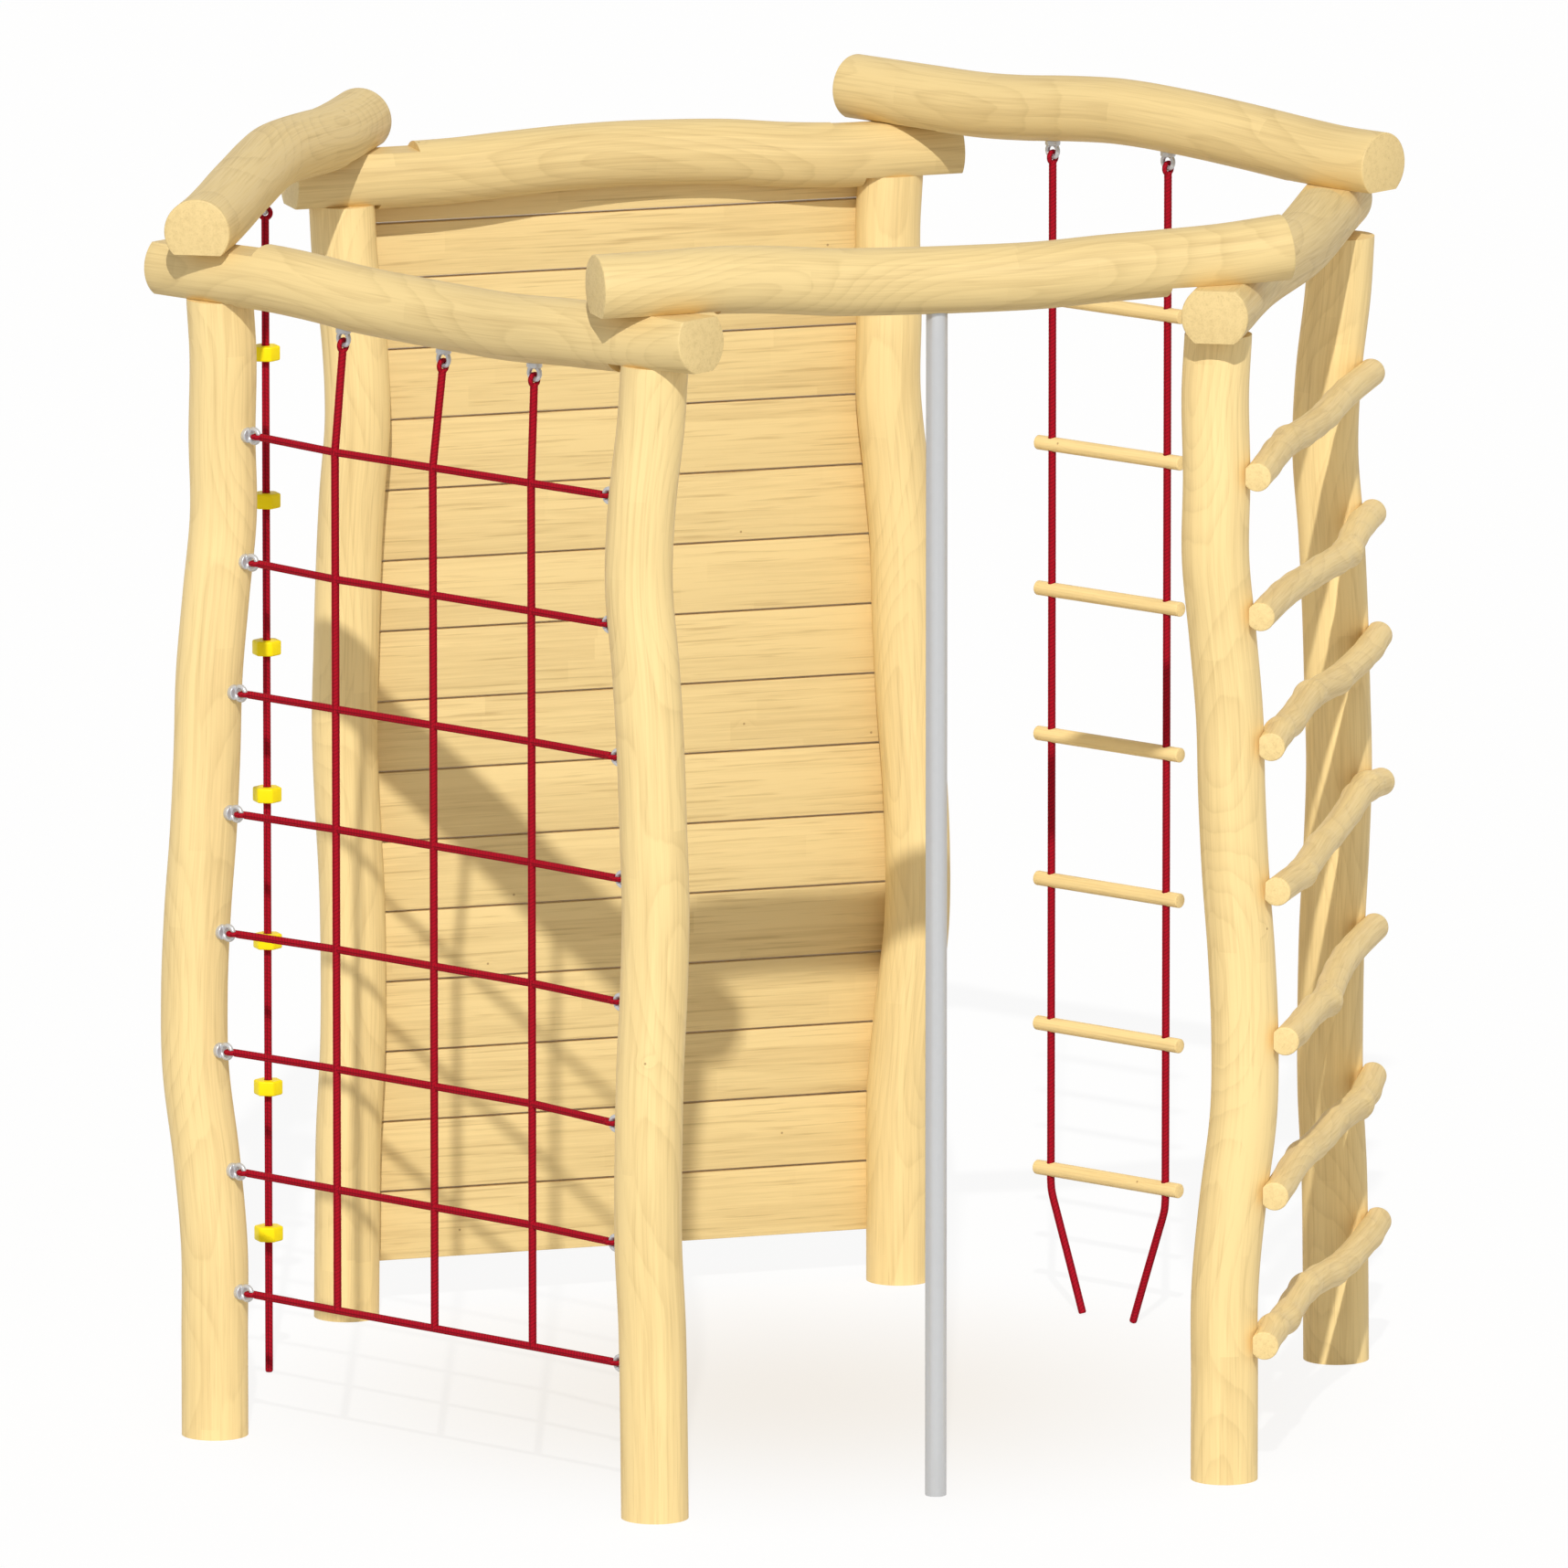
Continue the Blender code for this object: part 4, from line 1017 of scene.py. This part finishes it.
def build_beams():
    """Six beams: the lower level sits on the posts and the upper level on the lower one."""
    eyes = {
        "beam_net": [under_beam(NET_SIDE, distance) for distance in NET_COLUMNS],
        "beam_rope_ladder": LADDER_EYES,
        "beam_climbing_rope": [ROPE_EYE],
    }
    for index, log in enumerate(BEAM_LOGS):
        _, upper, rows = BEAMS[index]
        rings = eased(rows[0][0], rows[-1][0], LOG_RADIUS, LOG_EASE, LOG_STEP)
        beam = log.tube(f"{log.name}_wood", rings, LOG_AROUND)
        cutters = [rod_bore(index), rod_bore(index + 1)]
        for first_end in (True, False):
            level = (SEAT_LEVEL if upper else POST_HEIGHT) + SEAT_GAP
            reach = HIGH_SEAT_REACH if upper else post_seat_reach(index, first_end)
            cutters.append(seat_cutter(index, first_end, level, False, reach))
            if not upper:
                cutters.append(seat_cutter(index, first_end, SEAT_LEVEL, True, TOP_SEAT_REACH))
        cutters += [eye_bore(eye, UP) for eye in eyes.get(log.name, ())]
        if log.name == "beam_pole":
            foot, top = pole_ends(POLE_PLAY)
            cutters.append(rod("pole_socket", foot, top, POLE_RADIUS + POLE_PLAY, LOG_AROUND))
        if log.name == "beam_wall":
            cutters.append(wall_rebate())
        combine(beam, cutters)
        log.lay_grain(beam, index + BEAM_SEED)
        dress(beam, SHADED_BEAM_WOOD, "debarked_log", "frame", log.name)
    for name, side, eye in (
        ("ladder_eye_right", LADDER_SIDE, LADDER_EYES[0]),
        ("ladder_eye_left", LADDER_SIDE, LADDER_EYES[1]),
        ("climbing_rope_eye", ROPE_SIDE, ROPE_EYE),
    ):
        eye_bolt(name, eye, side_frame(side)[1], UP)


def pole_ends(play=0.0):
    """Foot and top of the fire pole, or with some play of its socket."""
    foot = Vector((0.0, corner(POLE_SIDE).y + POLE_INSET, 0.0))
    beam = BEAM_LOGS[POLE_SIDE].centre(SIDE / 2.0)
    return foot, foot + UP * (beam.z - LOG_RADIUS + POLE_SOCKET + play)


def build_pole():
    """Steel tube with eased ends, from the ground into the beam."""
    foot, top = pole_ends()
    rings = eased(0.0, top.z, POLE_RADIUS, POLE_EASE, POLE_STEP)
    pole = Log("fire_pole", foot, UP, LEVEL).tube("fire_pole_tube", rings, LOG_AROUND)
    dress(pole, STEEL, "galvanised_steel", "frame", "fire_pole")


def build_wall():
    """Sixteen boards from the middle of one wall post to the middle of the other, edges eased. The
    upper boards are narrower, and the last one ends at the wall's top."""
    start, along, outward = side_frame(WALL_SIDE)
    middle = start + along * SIDE / 2.0 + outward * WALL_SET_BACK
    foot = BOARD_BOTTOM
    for number in range(1, BOARD_COUNT + 1):
        pitch = BOARD_PITCH if number <= FULL_BOARDS else NARROW_BOARD_PITCH
        top = foot + pitch if number < BOARD_COUNT else WALL_TOP
        height = top - foot - BOARD_GAP
        name = f"wall_board_{number:02d}"
        centre = middle + UP * (foot + height / 2.0)
        board = box(f"{name}_plank", centre, (SIDE, BOARD_THICKNESS, height), along)
        modify(board, "BEVEL", width=BOARD_EASE, segments=BOARD_STEPS)
        settle(board)
        Log(name, centre - along * SIDE / 2.0, along, (outward, UP)).lay_grain(board, number)
        dress(board, BOARD_WOOD, "planed_board", "frame", name)
        foot = top


def rung_cutters(post, height):
    """Cutters for a log rung's flat seat on the outer side of a post, and for the post itself."""
    _, along, outward = side_frame(LOG_SIDE)
    level = LOG_RADIUS + SCRIBE_GAP - CUT_DEPTH / 2.0
    reach = 4.0 * LOG_RUNG_RADIUS
    size = (2.0 * LOG_RADIUS, CUT_DEPTH, reach)
    seat = box("seat", POST_LOGS[post].centre(height) + outward * level, size, along)
    rings = plain(height - reach, height + reach, LOG_RADIUS, LOG_STEP)
    return [seat, POST_LOGS[post].tube("scribe", rings, LOG_AROUND, SCRIBE_GAP)]


def swelling(distance, lumps):
    """How much thicker a rung is near its bends, where the branches were."""
    swell = sum(size * math.exp(-(((distance - place) / LUMP_REACH) ** 2)) for place, size in lumps)
    return LUMP_WAIST + LUMP_SWELL * swell


def build_log_rungs():
    """Seven wavy rungs, seated on the outer side of the front and back ladder posts."""
    _, along, outward = side_frame(LOG_SIDE)
    lean = math.radians(LOG_RUNG_LEAN)
    for number, (front, back, *sways) in enumerate(LOG_RUNGS, 1):
        name = f"log_rung_{number}"
        first, last = (
            POST_LOGS[post].centre(height) + outward * away + along * past
            for (post, away, past), height in zip(LOG_RUNG_ENDS, (front, back))
        )
        span = last - first
        places = np.linspace(0.0, span.length, len(sways))
        fine = np.linspace(0.0, span.length, BEND_STEPS * (len(sways) - 1) + 1)
        sway = np.interp(fine, places, sways)
        rows = list(zip(fine, sway * math.cos(lean), -sway * math.sin(lean)))
        log = Log(name, first, span.normalized(), (UP, outward), rows)
        rings = eased(0.0, span.length, LOG_RUNG_RADIUS, LOG_EASE, LOG_STEP / 2.0)
        bends = np.abs(np.diff(sways, 2)) / LUMP_BEND
        lumps = [(place, min(bend, 1.0)) for place, bend in zip(places[1:-1], bends)]
        rings = [(distance, radius * swelling(distance, lumps)) for distance, radius in rings]
        rung = log.tube(f"{name}_wood", rings, RUNG_AROUND)
        combine(rung, [*rung_cutters(2, front), *rung_cutters(3, back)])
        log.lay_grain(rung, number + LOG_RUNG_SEED)
        dress(rung, LOG_RUNG_WOOD, "debarked_log", "frame", name)


def vertical_bore(middle, reach):
    """Cutter for the hole in which a rope runs through a rung or a knob."""
    return rod("bore", middle - UP * reach, middle + UP * reach, BORE_RADIUS)


def build_ladder_rungs():
    """Seven round rungs with eased ends, bored for the two ropes."""
    middle = (LADDER_EYES[0] + LADDER_EYES[1]) / 2.0
    for number in range(HOLD_COUNT):
        name = f"ladder_rung_{number + 1}"
        height = RUNG_TOP - HOLD_PITCH * number
        start = Vector((*middle.xy, height)) - LADDER_ALONG * RUNG_LENGTH / 2.0
        log = Log(name, start, LADDER_ALONG, (UP, LADDER_ALONG.cross(UP)))
        rings = eased(0.0, RUNG_LENGTH, RUNG_RADIUS, RUNG_EASE, LOG_STEP)
        rung = log.tube(f"{name}_wood", rings, RUNG_AROUND)
        holes = [Vector((*eye.xy, height)) for eye in LADDER_EYES]
        combine(rung, [vertical_bore(hole, 2.0 * RUNG_RADIUS) for hole in holes])
        log.lay_grain(rung, number + RUNG_SEED)
        dress(rung, RUNG_WOOD, "turned_rung", "hanging_ladder", name)


def stands(edge):
    """Whether an edge runs up rather than level."""
    return abs(edge.verts[0].co.z - edge.verts[1].co.z) > KNOB_HEIGHT / 2.0


def build_knobs():
    """Seven six-sided plastic knobs with rounded edges, bored for the rope."""
    for number in range(HOLD_COUNT):
        name = f"climbing_knob_{number + 1}"
        centre = Vector((*ROPE_EYE.xy, KNOB_TOP - HOLD_PITCH * number))
        shape = prism(KNOB_SIDES, KNOB_RADIUS, KNOB_HEIGHT)
        for upright, width in ((True, KNOB_ROUND), (False, KNOB_CHAMFER)):
            edges = [edge for edge in shape.edges if stands(edge) == upright]
            bmesh.ops.bevel(
                shape, geom=edges, offset=width, segments=KNOB_STEPS, affect="EDGES", profile=0.5
            )
        turned = Matrix.Translation(centre) @ Matrix.Rotation(math.radians(KNOB_TURN), 4, "Z")
        knob = primitive(f"{name}_moulding", shape, turned)
        combine(knob, [vertical_bore(centre, KNOB_HEIGHT)])
        dress(knob, KNOB_YELLOW, "yellow_plastic", "hanging_rope", name)


def net_rope(piece):
    """Dress a rope or a link that stands for part of the net."""
    dress(piece, ROPE_RED, "red_rope", "frame", "climbing_net")


def net_end(name, eye, direction, normal):
    """Link and first point of a net rope that leaves its eye in a direction."""
    net_rope(torus(f"{name}_loop", link_centre(eye, direction), -direction, normal, *LINK_RING))
    return rope_start(eye, direction)


def polyline(points, step):
    """Points about one step apart on straight runs between points."""
    line = [points[0]]
    for start, end in zip(points, points[1:]):
        count = max(1, round((end - start).length / step))
        line += [start.lerp(end, number / count) for number in range(1, count + 1)]
    return line


def build_net():
    """Eight level ropes and three upright ones, with the eye bolts that hold them."""
    start, along, outward = side_frame(NET_SIDE)
    for row, (left, right) in enumerate(zip(*net_post_eyes()), 1):
        eye_bolt(f"net_eye_left_{row}", left, UP, -along, "climbing_net")
        eye_bolt(f"net_eye_right_{row}", right, UP, along, "climbing_net")
        crossings = [start + along * distance + UP * left.z for distance in NET_COLUMNS]
        first = net_end(f"net_level_left_{row}", left, (crossings[0] - left).normalized(), UP)
        last = net_end(f"net_level_right_{row}", right, (crossings[-1] - right).normalized(), UP)
        line = polyline([first, *crossings, last], ROPE_STEP)
        net_rope(braid(f"net_level_{row}", line, UP))
    for column, distance in enumerate(NET_COLUMNS, 1):
        eye = under_beam(NET_SIDE, distance)
        eye_bolt(f"net_eye_top_{column}", eye, along, UP, "climbing_net")
        middle = start + along * distance + outward * UPRIGHT_OFFSET
        heights = (*NET_ROWS[:-1], NET_ROWS[-1] - UPRIGHT_END)
        below = [middle + UP * height for height in heights]
        first = net_end(f"net_upright_top_{column}", eye, (below[0] - eye).normalized(), along)
        line = polyline([first, *below], ROPE_STEP)
        net_rope(braid(f"net_upright_{column}", line, along))


def finish_carried_nodes():
    """Give the CAD's own corner rods the steel finish."""
    for name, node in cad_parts.items():
        if name.startswith("corner_rod_"):
            node.data.materials.clear()
            node.data.materials.append(STEEL)


def make_floor():
    """Pale floor that shows nearly white, with a painted soft shade under the frame and faint cast
    shadows.
    """
    bpy.ops.mesh.primitive_plane_add(size=FLOOR_SIZE)
    floor = bpy.context.object
    floor.name = "floor"
    ground = Finish("pale_floor", Roughness=0.9, Specular_IOR_Level=0.0)
    seen = ground.seen()
    ground.use("Base Color", ground.blend(seen, FLOOR_BOUNCE, FLOOR_COLOUR))
    # Painted shade: the glow turns from white to a cream tint towards the middle under the frame, a
    # painted soft shadow
    place = ground.add("ShaderNodeTexCoord", output="Object")
    middle = ground.step(ground.vector("LENGTH", place, output="Value"), PAINTED_SHADE_REACH, 0.0)
    tint = ground.blend(middle, WHITE, FLOOR_PAINTED_SHADE)
    glow = ground.add("ShaderNodeEmission", {"Color": tint, "Strength": 1.0})
    share = ground.scaled(seen, FLOOR_GLOW)
    ground.show("Material Output", share, ground.shader.outputs[0], glow)
    floor.data.materials.append(ground.material)


def make_light():
    """One sun, and a sky brighter towards the horizon that mirrors see as one pale grey."""
    sun = scene_object("sun", bpy.data.lights.new("sun", "SUN"))
    sun.data.energy = SUN_STRENGTH
    sun.data.angle = math.radians(SUN_SPREAD)
    drop = math.radians(SUN_DROP)
    heading = Vector((*SUN_HEADING, 0.0)).normalized() * math.cos(drop) - UP * math.sin(drop)
    sun.rotation_euler = heading.to_track_quat("-Z", "Y").to_euler()
    world = bpy.data.worlds.new("studio")
    world.use_nodes = True
    bpy.context.scene.world = world
    air = Nodes(world.node_tree)
    height = air.split(air.add("ShaderNodeTexCoord", output="Generated"))[2]
    fall = {"Value": height, "To Min": SKY_STRENGTH, "To Max": SKY_STRENGTH * (1.0 - SKY_FALL)}
    strength = air.add("ShaderNodeMapRange", fall)
    sky = air.add("ShaderNodeBackground", {"Color": WHITE, "Strength": strength})
    pale = air.add("ShaderNodeBackground", {"Color": SKY_SEEN})
    air.show("World Output", air.seen(), sky, pale)


make_camera()
build_hanging_ropes()
EYE_MESH = make_eye_mesh()
build_posts()
build_beams()
build_pole()
build_wall()
build_log_rungs()
build_ladder_rungs()
build_knobs()
build_net()
finish_carried_nodes()
make_floor()
make_light()
